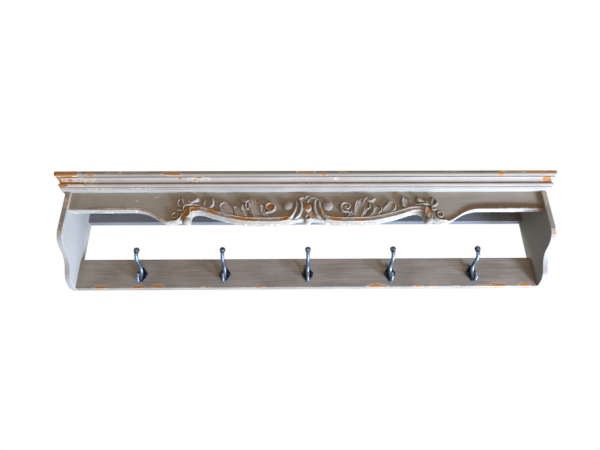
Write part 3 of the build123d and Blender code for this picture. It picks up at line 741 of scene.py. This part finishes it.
def moulding(kind, word, side, points):
    """One length of moulding: along the front where side is 0, and otherwise back to the wall."""
    steps = RETURN_STEPS if side else FRONT_STEPS
    bm = bmesh.new()
    face = bm.faces.new([bm.verts.new((0, case_front - (max(out, 0.0) if side else out) * MM, height * MM))
                         for out, height in points])
    bmesh.ops.spin(bm, geom=[face, *face.edges, *face.verts], cent=(0, 0, 0), axis=(1, 0, 0),
                   dvec=(1 / steps, 0, 0), angle=0, steps=steps, use_merge=False)
    bmesh.ops.remove_doubles(bm, verts=bm.verts, dist=0.001 * MM)
    along = [e for e in corner_edges(bm, angle=0.7)
             if abs((e.verts[0].co - e.verts[1].co).x) > 0.5 / FRONT_STEPS]
    round_edges(bm, along, 0.5 * MM, segments=2)
    for vert in bm.verts:
        out = case_front - vert.co.y
        if side:
            vert.co = Vector((side * (half_case + out), -vert.co.x * (out - case_front), vert.co.z))
        else:
            vert.co.x = (2 * vert.co.x - 1) * (half_case + out if out > -TOUCHING else half_inner)
    piece = new_piece(kind + "_" + word, bm, [kind + "_moulding_" + word])
    return finish_piece(piece, paint_moulded_lit, in_places(piece, CORNICE_BARE),
                        in_places(piece, CORNICE_SHADE_AND_GLAZE, depth=EVERYWHERE), sharp=CORNER_ANGLE)


mouldings = [moulding(kind, word, side, points)
             for kind, points in (("crown", crown_section()), ("bed", bed_section()))
             for side, word in ((0, "front"), (1, "return_right"), (-1, "return_left"))]
print("mouldings:", [(p.name, len(p.data.vertices)) for p in mouldings])

# %% [markdown]
# ## Tools for the carving
#
# Each leaf, rib or scroll follows a line drawn on the board. A ribbon of grid faces is laid along
# it, with its own width, height and section, and its rim is pushed down into the board. The
# ribbons of one ornament are then fused by a voxel remesh and smoothed, which gives the soft inner
# corners of carving that has been painted many times. Lines are in millimetres: x from the
# middle, and the rise above the apron's flat edge.

# %% carving tools
VOXEL = 0.6 * MM
SUNK = 0.6
# The upper left, where painted shadow falls from light low on the right.
SHADOW_SIDE = (-0.6, 0, 0.8)
LINE_STEPS = 40
KNOT_STEPS = 12
TINY = 1e-9
RIBBON_ROWS = 12
DOME_STEPS = 9
RING_STEPS = 14
NARROWEST = 0.01
BARE_LIFT = 3
FOOT_DARK_REACH = 1.4
# Painted shade: the carving's foot is darkened as glaze and crease shade, and its faces turned to the upper
# left as shade.
FOOT_GLAZE_AND_SHADE = 0.8
FLANK_SHADE = 0.45


def smooth_line(points, count=LINE_STEPS):
    """Evenly spaced points on a smooth line through the given ones, by Catmull and Rom's formula."""
    knots = [Vector(p) for p in points]
    knots = [2 * knots[0] - knots[1], *knots, 2 * knots[-1] - knots[-2]]
    dense = []
    for a, b, c, d in zip(knots, knots[1:], knots[2:], knots[3:]):
        for step in range(KNOT_STEPS):
            t = step / KNOT_STEPS
            dense.append(0.5 * (2 * b + (c - a) * t + (2 * a - 5 * b + 4 * c - d) * t ** 2
                                + (3 * b - a - 3 * c + d) * t ** 3))
    dense.append(knots[-2])
    reach = [0.0]
    for a, b in zip(dense, dense[1:]):
        reach.append(reach[-1] + (b - a).length)
    even = []
    for i in range(count + 1):
        want = reach[-1] * i / count
        k = min(bisect(reach, want + TINY) - 1, len(dense) - 2)
        share = (want - reach[k]) / max(reach[k + 1] - reach[k], TINY)
        even.append(dense[k].lerp(dense[k + 1], min(share, 1.0)))
    return even


def value_at(values, t):
    """A value read between evenly placed ones."""
    if not isinstance(values, list):
        return values
    spot = min(max(t, 0.0), 1.0) * (len(values) - 1)
    k = min(int(spot), len(values) - 2)
    share = spot - k
    share = share * share * (3 - 2 * share)
    return values[k] * (1 - share) + values[k + 1] * share


def roll(v):
    """A half-round rib."""
    return sqrt(max(1 - v * v, 0))


def rim(v):
    """A leaf that rises to a rounded rim near its right edge."""
    crest = 0.62
    if v < crest:
        return 0.30 + 0.70 * ((v + 1) / (1 + crest)) ** 1.5
    return 0.25 + 0.75 * cos((v - crest) / (1 - crest) * pi / 2)


def left_rim(v):
    """The same leaf with its rim on the left."""
    return rim(-v)


def dish(v):
    """A hollow leaf with a rim on both sides."""
    edge = max(1 - abs(v) ** 7, 0)
    return (0.38 + 0.62 * abs(v) ** 1.8) * (0.35 + 0.65 * edge)


def scale_leaf(v):
    """A broad flat leaf, a little hollow, with crisp edges."""
    return 0.68 + 0.32 * abs(v) ** 2.5 - 0.35 * max(abs(v) - 0.85, 0) / 0.15


def moulded(v):
    """Section of the wave moulding: a broad face over a rounded lower edge, and a bead above."""
    if v > 0.6:
        return 0.6 + 0.4 * roll((v - 0.8) / 0.2)
    if v < -0.8:
        return 0.3 + 0.58 * roll((v + 0.8) / 0.2)
    return 0.88 - 0.14 * ((v + 0.8) / 1.4) ** 1.5


def on_board(x, rise, lift, side):
    """A place on the apron from its carving coordinates, in millimetres."""
    return Vector((side * x * MM, face_y - lift * MM, flat_edge + rise * MM))


def open_edges(made):
    """The edges among what an extrusion made that have a face on one side only."""
    return [g for g in made["geom"] if isinstance(g, bmesh.types.BMEdge) and g.is_boundary]


def sink_rim(bm, verts):
    """Closes a raised sheet by pushing its rim into the board and filling the back."""
    edges = {e for v in verts for e in v.link_edges if e.is_boundary}
    made = bmesh.ops.extrude_edge_only(bm, edges=list(edges))
    for vert in moved_corners(made):
        vert.co.y = face_y + SUNK * MM
    bmesh.ops.contextual_create(bm, geom=open_edges(made))


def ribbon(bm, side, line, widths, heights, section, round_end=0.12, round_start=0.0):
    """Lays a ribbon of faces along a line; round_ shares of its length narrow to a round end."""
    path = smooth_line(line)
    made = bmesh.ops.create_grid(bm, x_segments=LINE_STEPS, y_segments=RIBBON_ROWS, size=0.5)["verts"]
    for vert in made:
        t, v = vert.co.x + 0.5, vert.co.y * 2
        k = min(int(t * LINE_STEPS), LINE_STEPS - 1)
        here = path[k].lerp(path[k + 1], t * LINE_STEPS - k)
        way = (path[min(k + 2, LINE_STEPS)] - path[max(k - 1, 0)]).normalized()
        narrow = 1.0
        if round_start and t < round_start:
            narrow = sqrt(max(1 - (1 - t / round_start) ** 2, NARROWEST))
        if round_end and t > 1 - round_end:
            narrow = min(narrow, sqrt(max(1 - ((t - 1 + round_end) / round_end) ** 2, NARROWEST)))
        half = value_at(widths, t) / 2 * narrow
        spot = here + Vector((way.y, -way.x)) * v * half
        lift = value_at(heights, t) * section(v) * (0.4 + 0.6 * narrow)
        vert.co = on_board(spot.x, spot.y, lift, side)
    sink_rim(bm, made)


def dome(bm, side, x, rise, radius, height, power=2.0):
    """A round button on the board."""
    made = bmesh.ops.create_circle(bm, cap_ends=False, segments=40, radius=1.0)["verts"]
    inner = list({e for v in made for e in v.link_edges})
    for step in range(1, DOME_STEPS):
        grown = bmesh.ops.extrude_edge_only(bm, edges=inner)
        share = (DOME_STEPS - step) / (DOME_STEPS - step + 1)
        bmesh.ops.scale(bm, vec=(share, share, 1), verts=moved_corners(grown))
        inner = open_edges(grown)
        made += moved_corners(grown)
    bmesh.ops.contextual_create(bm, geom=inner)
    for vert in made:
        out = min(vert.co.xy.length, 1.0)
        lift = height * max(1 - out ** power, 0) ** (1 / power)
        vert.co = on_board(x + vert.co.x * radius, rise + vert.co.y * radius, lift, side)
    sink_rim(bm, made)


def ring(bm, side, x, rise, radius, tube, height, start=0.0, sweep=2 * pi):
    """A rib round a centre, closed or with two round ends."""
    turns = [start + sweep * i / RING_STEPS for i in range(RING_STEPS + 1)]
    line = [(x + radius * cos(turn), rise + radius * sin(turn)) for turn in turns]
    round_end, round_start = (0.0, 0.0) if sweep == 2 * pi else (0.08, 0.05)
    ribbon(bm, side, line, tube, height, roll, round_end, round_start)


def fused(name, bm, nodes, voxel=VOXEL):
    """Fuses a piece's shells into one skin and smooths it."""
    piece = new_piece(name, bm, nodes)
    remesh = piece.modifiers.new("fuse", "REMESH")
    remesh.mode = "VOXEL"
    remesh.voxel_size = voxel
    ease = piece.modifiers.new("ease", "SMOOTH")
    ease.factor = 0.5
    ease.iterations = 2
    graph = bpy.context.evaluated_depsgraph_get()
    skin = bpy.data.meshes.new_from_object(piece.evaluated_get(graph))
    piece.modifiers.clear()
    piece.data = skin
    return piece


def carve(name, node, strokes):
    """One ornament from (side, stroke); a stroke that names no shape is a ribbon."""
    bm = bmesh.new()
    for side, stroke in strokes:
        shape, *numbers = stroke if callable(stroke[0]) else (ribbon, *stroke)
        shape(bm, side, *numbers)
    return fused(name, bm, [node])


def on_sides(sides, strokes):
    """The same strokes on each of the given sides."""
    return [(side, stroke) for side in sides for stroke in strokes]


def finish_carving(piece, bare_places, base):
    """Glaze and painted shade lie where the carving meets the board, painted shade darkens its faces turned
    to the upper left, and wear is on its high parts.
    """
    lift = (face_y - read(piece)[:, 1]) / MM
    high = np.clip(lift / BARE_LIFT, 0, 1) * facing_front(piece)
    foot = FOOT_GLAZE_AND_SHADE * np.exp(-np.maximum(lift, 0) / FOOT_DARK_REACH)
    flank_shade = FLANK_SHADE * np.clip(read(piece, "normal") @ np.array(SHADOW_SIDE), 0, 1)
    finish_piece(piece, paint_carved, high * in_places(piece, bare_places, base),
                 np.maximum(foot, flank_shade), rounds=3)


print("carving tools ready, voxels of", round(VOXEL / MM, 2), "mm")

# %% [markdown]
# ## The ornament
#
# The design is a pair of mirrored branches. From the outer end: a volute and a bulb with three
# leaves above them, a vine with a tall leaf and two scale leaves, and a fan of acanthus lobes
# that ends in a rosette. Between the branches, ribs and two smooth bosses frame a cabochon with a
# palmette above it and a bud below. A ribbon has a line, widths, heights, a section and round
# ends, a dome a centre, radius and height, and a ring a centre, radius, width and height.

# %% ornament
CARVED_BARE = [
    (-315, -17, 8, 8, 0.72), (-297, -19, 5, 8, 0.9), (-288, -8, 10, 14, 1), (-272, -1, 16, 9, 1),
    (-297, 4, 3, 9, 0.9), (-322, -29, 12, 2.5, 0.9), (-305, -22, 3, 6, 0.8), (-52, -27, 7, 4, 0.9),
    (-42, -20, 5, 5, 0.8), (-21, -4, 3, 11, 0.9), (0, 2, 9, 9, 0.9), (-14, 23, 4, 3, 0.9),
    (9, 23, 5, 3, 0.9), (0, -23, 4, 3, 0.8), (-121, 19, 6, 5, 0.9), (-90, 4, 11, 10, 0.9),
    (-108, 6, 3, 7, 0.55), (-155, -8, 2, 8, 0.7), (31, -6, 4, 10, 1), (37, -18, 4, 5, 0.8),
    (92, 3, 5, 5, 0.5), (134, 26, 3, 4, 0.6), (290, -9, 8, 8, 0.9), (330, -30, 14, 3, 0.8),
]
WAVE_BARE = [
    (-266, 7, 12, 6, 1), (-228, 7.5, 19, 5, 1), (-153, 6.5, 40, 4.5, 1), (-54, 7, 19, 5, 0.95),
    (-98, 7, 14, 2, 0.5), (-196, 7, 6, 2, 0.5), (65, 7, 22, 5, 0.95), (127, 6, 25, 4, 0.9),
    (190, 7, 25, 2, 0.45), (250, 7, 26, 3, 0.6),
]
WAVE_RISE = 6.2
WAVE_LINE = [(x, (lower_edge(apron_tree, x * MM) - flat_edge) / MM + WAVE_RISE) for x in range(274, 37, -8)]
PAIRED = {
    "wave_band": ("wave_moulding", [
        (WAVE_LINE, [11, 13, 12.5, 12.5, 12.5, 13], [7, 8, 8, 8, 8, 8], moulded, 0.0, 0.03),
    ]),
    "volute_end": ("end_scroll", [
        (ring, 315.5, -17, 6.6, 4.4, 7),
        (dome, 315.5, -17, 3.4, 6.0),
        ([(334, -30), (323, -31.5), (311, -30.5), (303, -24), (300, -15), (301, -7)], [3, 6, 7, 7, 6, 4],
         [3, 6, 7, 8, 8, 7], roll, 0.1, 0.1),
        ([(312, -6), (305, -4), (298, -7)], [3, 5, 4], [6, 8, 8], roll, 0.1, 0.2),
        (dome, 288, -30, 10.5, 9.5),
        ([(268, 1), (278, -2), (287, -8), (292, -17), (291, -26)], [13, 15, 15, 13, 9], [7, 8.5, 9, 9, 8],
         scale_leaf, 0.1),
        ([(284, 3), (281, -4), (280, -13), (284, -22), (291, -24)], [3, 4, 4, 4, 3],
         [9, 10.5, 10.5, 10.5, 9], roll, 0.1, 0.1),
    ]),
    "end_leaf_group": ("end_leaves", [
        ([(287, 12), (276, 18), (267, 24), (267, 34)], [5, 9, 12, 5], [7, 9, 10, 7], roll, 0.25),
        ([(290, 12), (284, 17), (284, 27)], [5, 9, 4], [7, 9, 7], rim, 0.3),
        ([(294, 8), (284, 11), (272, 11)], [5, 9, 3], [8, 10, 7], roll, 0.3),
        ([(297, 6), (296, 17), (303, 31)], [6, 11, 5], [6, 9, 8], rim, 0.25),
        ([(299, 4), (311, 12), (310, 22), (303, 24)], [5, 7, 7, 3], [6, 8.5, 8.5, 7], roll, 0.2),
        ([(297, -6), (297, 4), (294, 14)], [4, 6, 4], [9, 9.5, 8], roll, 0.2),
    ]),
    "vine_leaf_group": ("wave_leaves", [
        ([(182, -12), (211, -5.4), (231, 0.6), (250, 6.2), (270, 10.5), (292, 12.5)],
         [3, 3.5, 3.5, 3.5, 4, 6, 3], [4, 5, 5, 5.5, 6, 7, 5], roll, 0.1),
        ([(154, -27), (160, -16), (168, -5), (178, 3)], [8, 20, 22, 5], [5, 8, 8, 6], scale_leaf, 0.2),
        ([(166, -17), (174, -8), (176, 2), (169, 8)], [2, 4, 4, 2], [7, 9, 9, 7], roll, 0.2),
        ([(180, -20), (188, -9), (198, 1), (215, 10)], [10, 25, 27, 5], [5, 8, 8.5, 6], scale_leaf, 0.15),
        ([(199, -10), (208, -2), (210, 8), (201, 16), (190, 14)], [2, 4, 5, 4, 2], [7, 9, 9.5, 9, 7],
         roll, 0.2),
        ([(238, 1), (238, 14), (239, 29)], [6, 17, 11], [3, 5, 5], left_rim, 0.25),
        ([(236, 2), (228.5, 10), (228, 21), (234, 33)], [4, 8, 9, 3], [6, 9.5, 10, 7], roll, 0.2),
        ([(243, 1), (249, 8), (249, 18), (243, 30)], [5, 9, 9, 4], [2, 3.5, 4, 3.5], roll, 0.2),
    ]),
    "acanthus_fan": ("acanthus_spray", [
        ([(112, -27), (121, -14), (128, 0), (132, 15), (141, 31)], [8, 26, 31, 24, 6], [4, 7, 8, 8.5, 6],
         scale_leaf, 0.2),
        ([(111, -22), (114, -8), (116, 7), (123, 22)], [4, 6, 9, 7], [7, 9, 10.5, 9.5], left_rim, 0.25),
        ([(97, -25), (104, -14), (109, -1), (109, 12)], [5, 9, 10, 6], [4, 8, 9, 8], rim, 0.25),
        ([(84, -27), (93, -20), (101, -10), (104, 2)], [4, 7, 8, 6], [4, 7, 8, 8], rim, 0.15),
        ([(126, -27), (141, -21), (152, -9), (155, 5), (151, 17)], [5, 10, 13, 11, 6], [4, 7, 9, 9, 8],
         rim, 0.2),
        ([(136, 27), (144, 17), (154, 16), (166, 28)], [5, 8, 9, 3], [7, 9.5, 9.5, 6], left_rim, 0.1),
        ([(147, 15), (149, 6), (145, -2), (138, -2)], [3, 4.5, 5, 3], [9, 10, 10, 9], roll, 0.2),
        ([(125, -24), (133, -10), (136, 3)], [2, 4, 2], [8, 9.5, 8], roll, 0.2),
        ([(133, 13), (137, 22), (146, 30)], [3, 5, 2], [9, 10, 7], roll, 0.2),
        ([(110, -14), (103, -12), (95, -9.5), (86, -8), (79.5, -1), (80.5, 9), (89, 14.5), (98, 11),
          (100.5, 3.5), (95.5, -2), (89, 0.5), (90, 5)],
         [5, 8, 8, 7.5, 7, 6.5, 6, 5], [6, 8.5, 9, 9, 9, 9, 8.5, 8], roll, 0.15, 0.1),
        (dome, 91, 3, 11.5, 6.5),
    ]),
    "frame_ribs": ("cartouche_ribs", [
        ([(24, 27), (18, 19), (15.5, 8), (16.5, -5), (21, -16), (31, -26)], [4, 8, 10, 10, 9, 5],
         [6, 8.5, 9, 9, 8, 6], roll),
        ([(28, 24), (27.5, 11), (30.5, -4), (37, -16), (48, -27), (60, -33)], [4, 8, 9.5, 10, 9, 5],
         [5, 8, 9, 8.5, 8, 6], roll),
    ]),
    "smooth_boss": ("volute_boss", [(dome, 47.5, 8, 13.5, 9.0, 2.3)]),
}
PALMETTE_HEART = [
    (ring, 0, 25, 6.6, 4.8, 8.5, -0.15 * pi, 1.3 * pi),
    (dome, 0, 25, 6.8, 6),
    ([(0, 14), (0, 19), (0, 24)], [5, 7, 6], [8, 9, 8], roll, 0.1, 0.1),
]
PALMETTE_LEAVES = [
    ([(4, 18), (11, 21), (20, 20.5)], [7, 11, 6], [5, 7, 7], dish, 0.2),
    ([(6, 26.5), (14, 27.5), (22, 23.5)], [3.5, 4.5, 3], [7, 8.5, 7], roll, 0.1, 0.1),
]

carvings = [
    carve("cabochon_dome", "cabochon", on_sides([1], [(dome, 0, 2, 10.5, 8.5, 3.0)])),
    carve("bud_drop", "hanging_bud", on_sides([1], [(ring, 0, -24, 6.0, 4.8, 7.5), (dome, 0, -24, 4.2, 6)])),
    carve("palmette", "crown_leaf", on_sides([1], PALMETTE_HEART) + on_sides([1, -1], PALMETTE_LEAVES)),
]
for side, word in ((1, "_right"), (-1, "_left")):
    for name, (node, strokes) in PAIRED.items():
        carvings.append(carve(name + word, node + word, on_sides([side], strokes)))
for piece in carvings:
    if "wave_band" in piece.name:
        finish_carving(piece, WAVE_BARE, edge_heights(piece, apron_tree))
    else:
        finish_carving(piece, CARVED_BARE, flat_edge / MM)
print("carving:", len(carvings), "pieces,", sum(len(p.data.polygons) for p in carvings), "faces")

# %% [markdown]
# ## Glaze and painted shadow round the carving
#
# Glaze wiped over applied carving stays on the board beside it, and painted shadow is added to it,
# most of all on the upper left, where the carving would cast its shadow from light low on the
# right. So each vertex of the apron looks up the nearest point of the carving, and takes glaze and
# painted shadow by how near that is and on which side. Along the right end of the apron's lower
# edge the glaze was left as a soft brown band. The listed band above the palmette is painted
# shadow, and the patches at both ends, by the brackets, are painted shade.

# %% glaze and painted shadow on the apron
# Painted shadow: glaze on the board round the carving is darkened further on its shadow side.
GLAZE_AND_SHADOW_REACH = 4.5 * MM
GLAZE_AND_SHADOW_STRENGTH = 0.5
SHELTERED = 0.35
EVERY = 7
# Painted shade: the band above the palmette and the patches at both ends, by the brackets.
APRON_SHADE_AND_GLAZE = [(-560, 40, 12, 45, 0.3), (-5, 34, 24, 4, 0.25), (566, 40, 9, 45, 0.7)]
EDGE_GLAZED = [(468, 3, 190, 15, 1.3), (-470, 3, 70, 6, 0.6), (-372, 2, 55, 6, 0.8)]


def glaze_and_shadow_round_carving(piece, carved):
    """How much glaze and painted shadow each vertex of the board takes beside the carving."""
    spots = np.concatenate([read(other)[::EVERY] for other in carved])
    near = KDTree(len(spots))
    for i, (x, _, z) in enumerate(spots):
        near.insert((x, 0, z), i)
    near.balance()
    place = read(piece)
    glaze_and_shade = np.zeros(len(place))
    for i, (x, y, z) in enumerate(place):
        if y < face_y + 2 * MM:
            point, _, distance = near.find((x, 0, z))
            away = (Vector((x, 0, z)) - point).normalized()
            side = SHELTERED + (1 - SHELTERED) * max(away.dot(SHADOW_SIDE), 0)
            glaze_and_shade[i] = GLAZE_AND_SHADOW_STRENGTH * np.exp(-(distance / GLAZE_AND_SHADOW_REACH / side) ** 2) * side
    return glaze_and_shade


above_edge = edge_heights(apron_piece, apron_tree)
apron_bare, apron_glaze_and_shade = [
    np.maximum(in_places(apron_piece, places, flat_edge / MM, 4), in_places(apron_piece, low, above_edge, 1))
    for places, low in ((APRON_BARE, EDGE_BARE), (APRON_SHADE_AND_GLAZE, EDGE_GLAZED))]
finish_piece(apron_piece, paint_along, apron_bare * facing_front(apron_piece),
             np.maximum(apron_glaze_and_shade, glaze_and_shadow_round_carving(apron_piece, carvings)), sharp=CORNER_ANGLE)
print("glaze laid on", apron_piece.name)

# %% [markdown]
# ## Cast coat hooks
#
# Each hook is one casting in a zinc alloy, finished like old pewter: a kite-shaped plate, an
# upper prong that runs down its middle as a rib and ends in a mushroom knob, and a short lower
# prong with a flared tip. The prongs are rings bridged along a line, the knobs are turned by a
# spin, and all of it is fused as the carving is. The metal is darkened where a cloth can't reach,
# by the plate, and the knob's top and the line under its cap are darkened as painted shade.
# Pewter is a metal, so the metallic value is 1.

# %% hooks
HOOK_UPPER = [(5.2, -18, 3.8), (5.4, -9, 4.5), (8.2, 0.5, 4.7), (15.5, 8, 4.6), (26, 12.2, 4.5),
              (42, 14.8, 4.4), (54, 18.2, 4.4), (60.3, 24, 4.4), (62.5, 30, 4.4), (63, 35, 4.4)]
HOOK_LOWER = [(5.6, -11, 3.2), (6.4, -19, 3.5), (11, -24.2, 3.5), (19, -25.6, 3.4), (26.2, -23.3, 3.4),
              (30, -18.5, 3.4), (31, -12.5, 3.5)]
KNOB_PROFILE = [(0, 0), (4.3, 0), (4.8, 2), (6, 4.4), (6.9, 7), (7, 9.8), (6.2, 12.4), (4, 14.5), (0, 15.4)]
TIP_PROFILE = [(0, 0), (3.3, 0), (3.9, 2), (4.2, 3.6), (3.8, 5.2), (2.2, 6.5), (0, 6.9)]
PLATE_CORNERS = [(0, 18.5), (-16.8, -4), (0, -27.5), (16.8, -4)]
KNOB_FOOT = (63, 29.8)
TIP_FOOT = (31, -15.8)
PLATE_THICKNESS = 3 * MM
PLATE_ROUND = 3.5 * MM
PLATE_SOFT = 1.2 * MM
HOOK_RISE = 37.5 * MM
HOOK_VOXEL = 0.5 * MM
BAR_STEPS = 36
BAR_SIDES = 20
TURN_STEPS = 28
CORNER_DARK = 0.8
CORNER_REACH = 7.0
KNOB_OUT = 50
KNOB_TOP = 34
KNOB_NECK = 31
# Painted shade: the knob's top and the ring under its cap are darkened.
KNOB_TOP_SHADE = 0.3
NECK_SHADE = 0.5


def add_bar(bm, line, centre):
    """A round bar in the hook's middle plane, from (out, rise, radius) points."""
    path = smooth_line(line, BAR_STEPS)
    rings = []
    for k, point in enumerate(path):
        before, after = path[max(k - 1, 0)], path[min(k + 1, len(path) - 1)]
        way = Vector((0, -(after.x - before.x), after.y - before.y)).normalized()
        turn = way.to_track_quat("Z", "X").to_matrix().to_4x4()
        place = Matrix.Translation(centre + Vector((0, -point.x, point.y)) * MM)
        made = bmesh.ops.create_circle(bm, cap_ends=k in (0, len(path) - 1), segments=BAR_SIDES,
                                       radius=point.z * MM, matrix=place @ turn)["verts"]
        rings.append(list({e for v in made for e in v.link_edges}))
    for first, second in zip(rings, rings[1:]):
        bmesh.ops.bridge_loops(bm, edges=first + second)


def add_turned(bm, profile, centre, out, rise):
    """A turned knob on an upright axis, from (radius, height) points."""
    foot = centre + Vector((0, -out, rise)) * MM
    verts = [bm.verts.new(foot + Vector((radius, 0, height)) * MM) for radius, height in profile]
    edges = [bm.edges.new(pair) for pair in zip(verts, verts[1:])]
    bmesh.ops.spin(bm, geom=verts + edges, cent=foot, axis=(0, 0, 1), dvec=(0, 0, 0), angle=2 * pi,
                   steps=TURN_STEPS, use_merge=True, use_duplicate=False)


def add_plate(bm, centre):
    """A kite with rounded corners and a softened edge."""
    bm.faces.new([bm.verts.new(centre + Vector((x, 0, z)) * MM) for x, z in PLATE_CORNERS])
    moved = thicken(bm, (0, -PLATE_THICKNESS, 0))
    upright = [e for v in moved for e in v.link_edges
               if abs(e.verts[0].co.y - e.verts[1].co.y) > MM]
    round_edges(bm, upright, PLATE_ROUND, segments=5)
    front = [e for e in bm.edges
             if all(abs(v.co.y - centre.y + PLATE_THICKNESS) < TOUCHING for v in e.verts)]
    round_edges(bm, front, PLATE_SOFT)


def coat_hook(number):
    """One hook, with darker metal by its plate, and painted shade on its knob's top and under its cap."""
    low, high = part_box("coat_hook_%d" % number)
    centre = Vector(((low.x + high.x) / 2, rail_low.y, rail_low.z + HOOK_RISE))
    bm = bmesh.new()
    add_plate(bm, centre)
    add_bar(bm, HOOK_UPPER, centre)
    add_bar(bm, HOOK_LOWER, centre)
    add_turned(bm, KNOB_PROFILE, centre, *KNOB_FOOT)
    add_turned(bm, TIP_PROFILE, centre, *TIP_FOOT)
    bmesh.ops.remove_doubles(bm, verts=bm.verts, dist=TOUCHING)
    for vert in bm.verts:
        vert.co.y = min(vert.co.y, centre.y)
    piece = fused("cast_hook_%d" % number, bm, ["coat_hook_%d" % number], HOOK_VOXEL)
    place = read(piece)
    lift = (rail_low.y - place[:, 1]) / MM
    rise = (place[:, 2] - centre.z) / MM
    in_corner = CORNER_DARK * np.exp(-np.maximum(lift, 0) / CORNER_REACH)
    knob_shade = (KNOB_TOP_SHADE / (1 + np.exp(KNOB_TOP - rise))
               + NECK_SHADE * np.exp(-((rise - KNOB_NECK) / 2) ** 2))
    return finish_piece(piece, pewter, glaze_and_shade=np.maximum(in_corner, (lift > KNOB_OUT) * knob_shade), rounds=3)


def pewter_finish():
    """Darkened pewter: blue-grey metal, nearly black in the hollows and where shade is painted, rubbed on the
    ridges.
    """
    material, shader, node = new_material("antiqued_pewter")
    place = node("ShaderNodeTexCoord", output="Object")
    wear_and_shade = node("ShaderNodeAttribute", output="Color", attribute_name="wear_and_shade")
    ridge, hollow = node("ShaderNodeSeparateColor", {"Color": wear_and_shade}).node.outputs[:2]
    mottle, cast = [
        node("ShaderNodeTexNoise", {"Vector": place, "Scale": 1 / size, "Detail": detail})
        for size, detail in ((6 * MM, 4.0), (1.2 * MM, 2.0))]
    dark = node("ShaderNodeMath", {0: mottle, 1: 0.7, 2: hollow}, operation="MULTIPLY_ADD")
    dark, rubbed = [
        node("ShaderNodeMapRange", {"Value": value, "From Min": low, "From Max": high, "To Max": most},
             interpolation_type="SMOOTHSTEP")
        for value, low, high, most in ((dark, 0.4, 0.85, 1.0), (ridge, 0.35, 0.95, 0.6))]
    colour = linear("#66717F")
    for share, cover in ((dark, "#1B1D21"), (rubbed, "#A3B0C0")):
        colour = node("ShaderNodeMix", {0: share, MIX_A: colour, MIX_B: linear(cover)}, MIX_RESULT,
                      data_type="RGBA")
    height = node("ShaderNodeMath", {0: cast, 1: mottle}, operation="ADD")
    bump = node("ShaderNodeBump", {"Height": height, "Distance": 0.3 * MM, "Strength": 0.5})
    dull = node("ShaderNodeMapRange", {"Value": dark, "To Min": 0.42, "To Max": 0.62})
    fill_sockets(shader, {"Metallic": 1.0, "Base Color": colour, "Roughness": dull, "Normal": bump})
    return material


pewter = pewter_finish()
hooks = [coat_hook(number) for number in range(1, 6)]
print("hooks:", len(hooks), "with", len(hooks[0].data.polygons), "faces each")

# %% [markdown]
# ## Fixings and hidden joinery
#
# Blackened wood screws hold the hooks. Behind, zinc-plated keyhole plates hang the shelf, pine
# glue blocks stiffen the corner under the shelf board, and beech dowels hide in the joints.

# %% fixings
def plated_steel(name, colour, rough, mottle_size):
    """Steel with a fine mottle from its plating."""
    material, shader, node = new_material(name)
    place = node("ShaderNodeTexCoord", output="Object")
    mottle = node("ShaderNodeTexNoise", {"Vector": place, "Scale": 1 / mottle_size, "Detail": 3.0})
    share, dull = [
        node("ShaderNodeMapRange", {"Value": mottle, "From Min": 0.3, "From Max": 0.7,
                                    "To Min": least, "To Max": most})
        for least, most in ((0.0, 0.5), (rough, rough + 0.15))]
    tone = node("ShaderNodeMix", {0: share, MIX_A: linear(colour), MIX_B: linear("#2B2C2E")}, MIX_RESULT,
                data_type="RGBA")
    fill_sockets(shader, {"Metallic": 1.0, "Base Color": tone, "Roughness": dull})
    return material


def bare_wood(name, pale, dark, direction):
    """Sawn wood with its grain along one axis."""
    material, shader, node = new_material(name)
    place = node("ShaderNodeTexCoord", output="Object")
    sawn = node("ShaderNodeMapping", {"Vector": place,
                                      "Scale": stretched(direction, GRAIN_LENGTH, GRAIN_WIDTH)})
    grain = node("ShaderNodeTexNoise", {"Vector": sawn, "Scale": 1.0, "Detail": 4.0})
    share = node("ShaderNodeMapRange", {"Value": grain, "From Min": 0.35, "From Max": 0.65})
    tone = node("ShaderNodeMix", {0: share, MIX_A: linear(pale), MIX_B: linear(dark)}, MIX_RESULT,
                data_type="RGBA")
    bump = node("ShaderNodeBump", {"Height": grain, "Distance": 0.3 * MM, "Strength": 0.5})
    fill_sockets(shader, {"Base Color": tone, "Roughness": 0.75, "Normal": bump})
    return material


black_steel = plated_steel("blackened_steel", "#3A3B3E", 0.4, 3 * MM)
zinc_steel = plated_steel("zinc_plated_steel", "#B4B7BA", 0.3, 5 * MM)
pine = bare_wood("sawn_pine", "#CDA771", "#B08850", "X")
beech = bare_wood("turned_beech", "#C9A47C", "#B58C62", "X")
for fixing in (("hook_screw_set", "hook_screws", "screw_steel", black_steel),
               ("keyhole_screw_set", "keyhole_screws", "hanger_steel", zinc_steel),
               ("hanger_plate_left", "keyhole_plate_left", "hanger_steel", zinc_steel, 0.2 * MM),
               ("hanger_plate_right", "keyhole_plate_right", "hanger_steel", zinc_steel, 0.2 * MM),
               ("glue_block_set", "glue_blocks", "bare_pine", pine, 0.8 * MM)):
    merged_copy(*fixing)
for node in ("rail_dowels", "apron_dowels", "shelf_dowels"):
    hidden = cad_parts[node]
    hidden.data.materials.clear()
    hidden.data.materials.append(beech)
print("fixings finished")
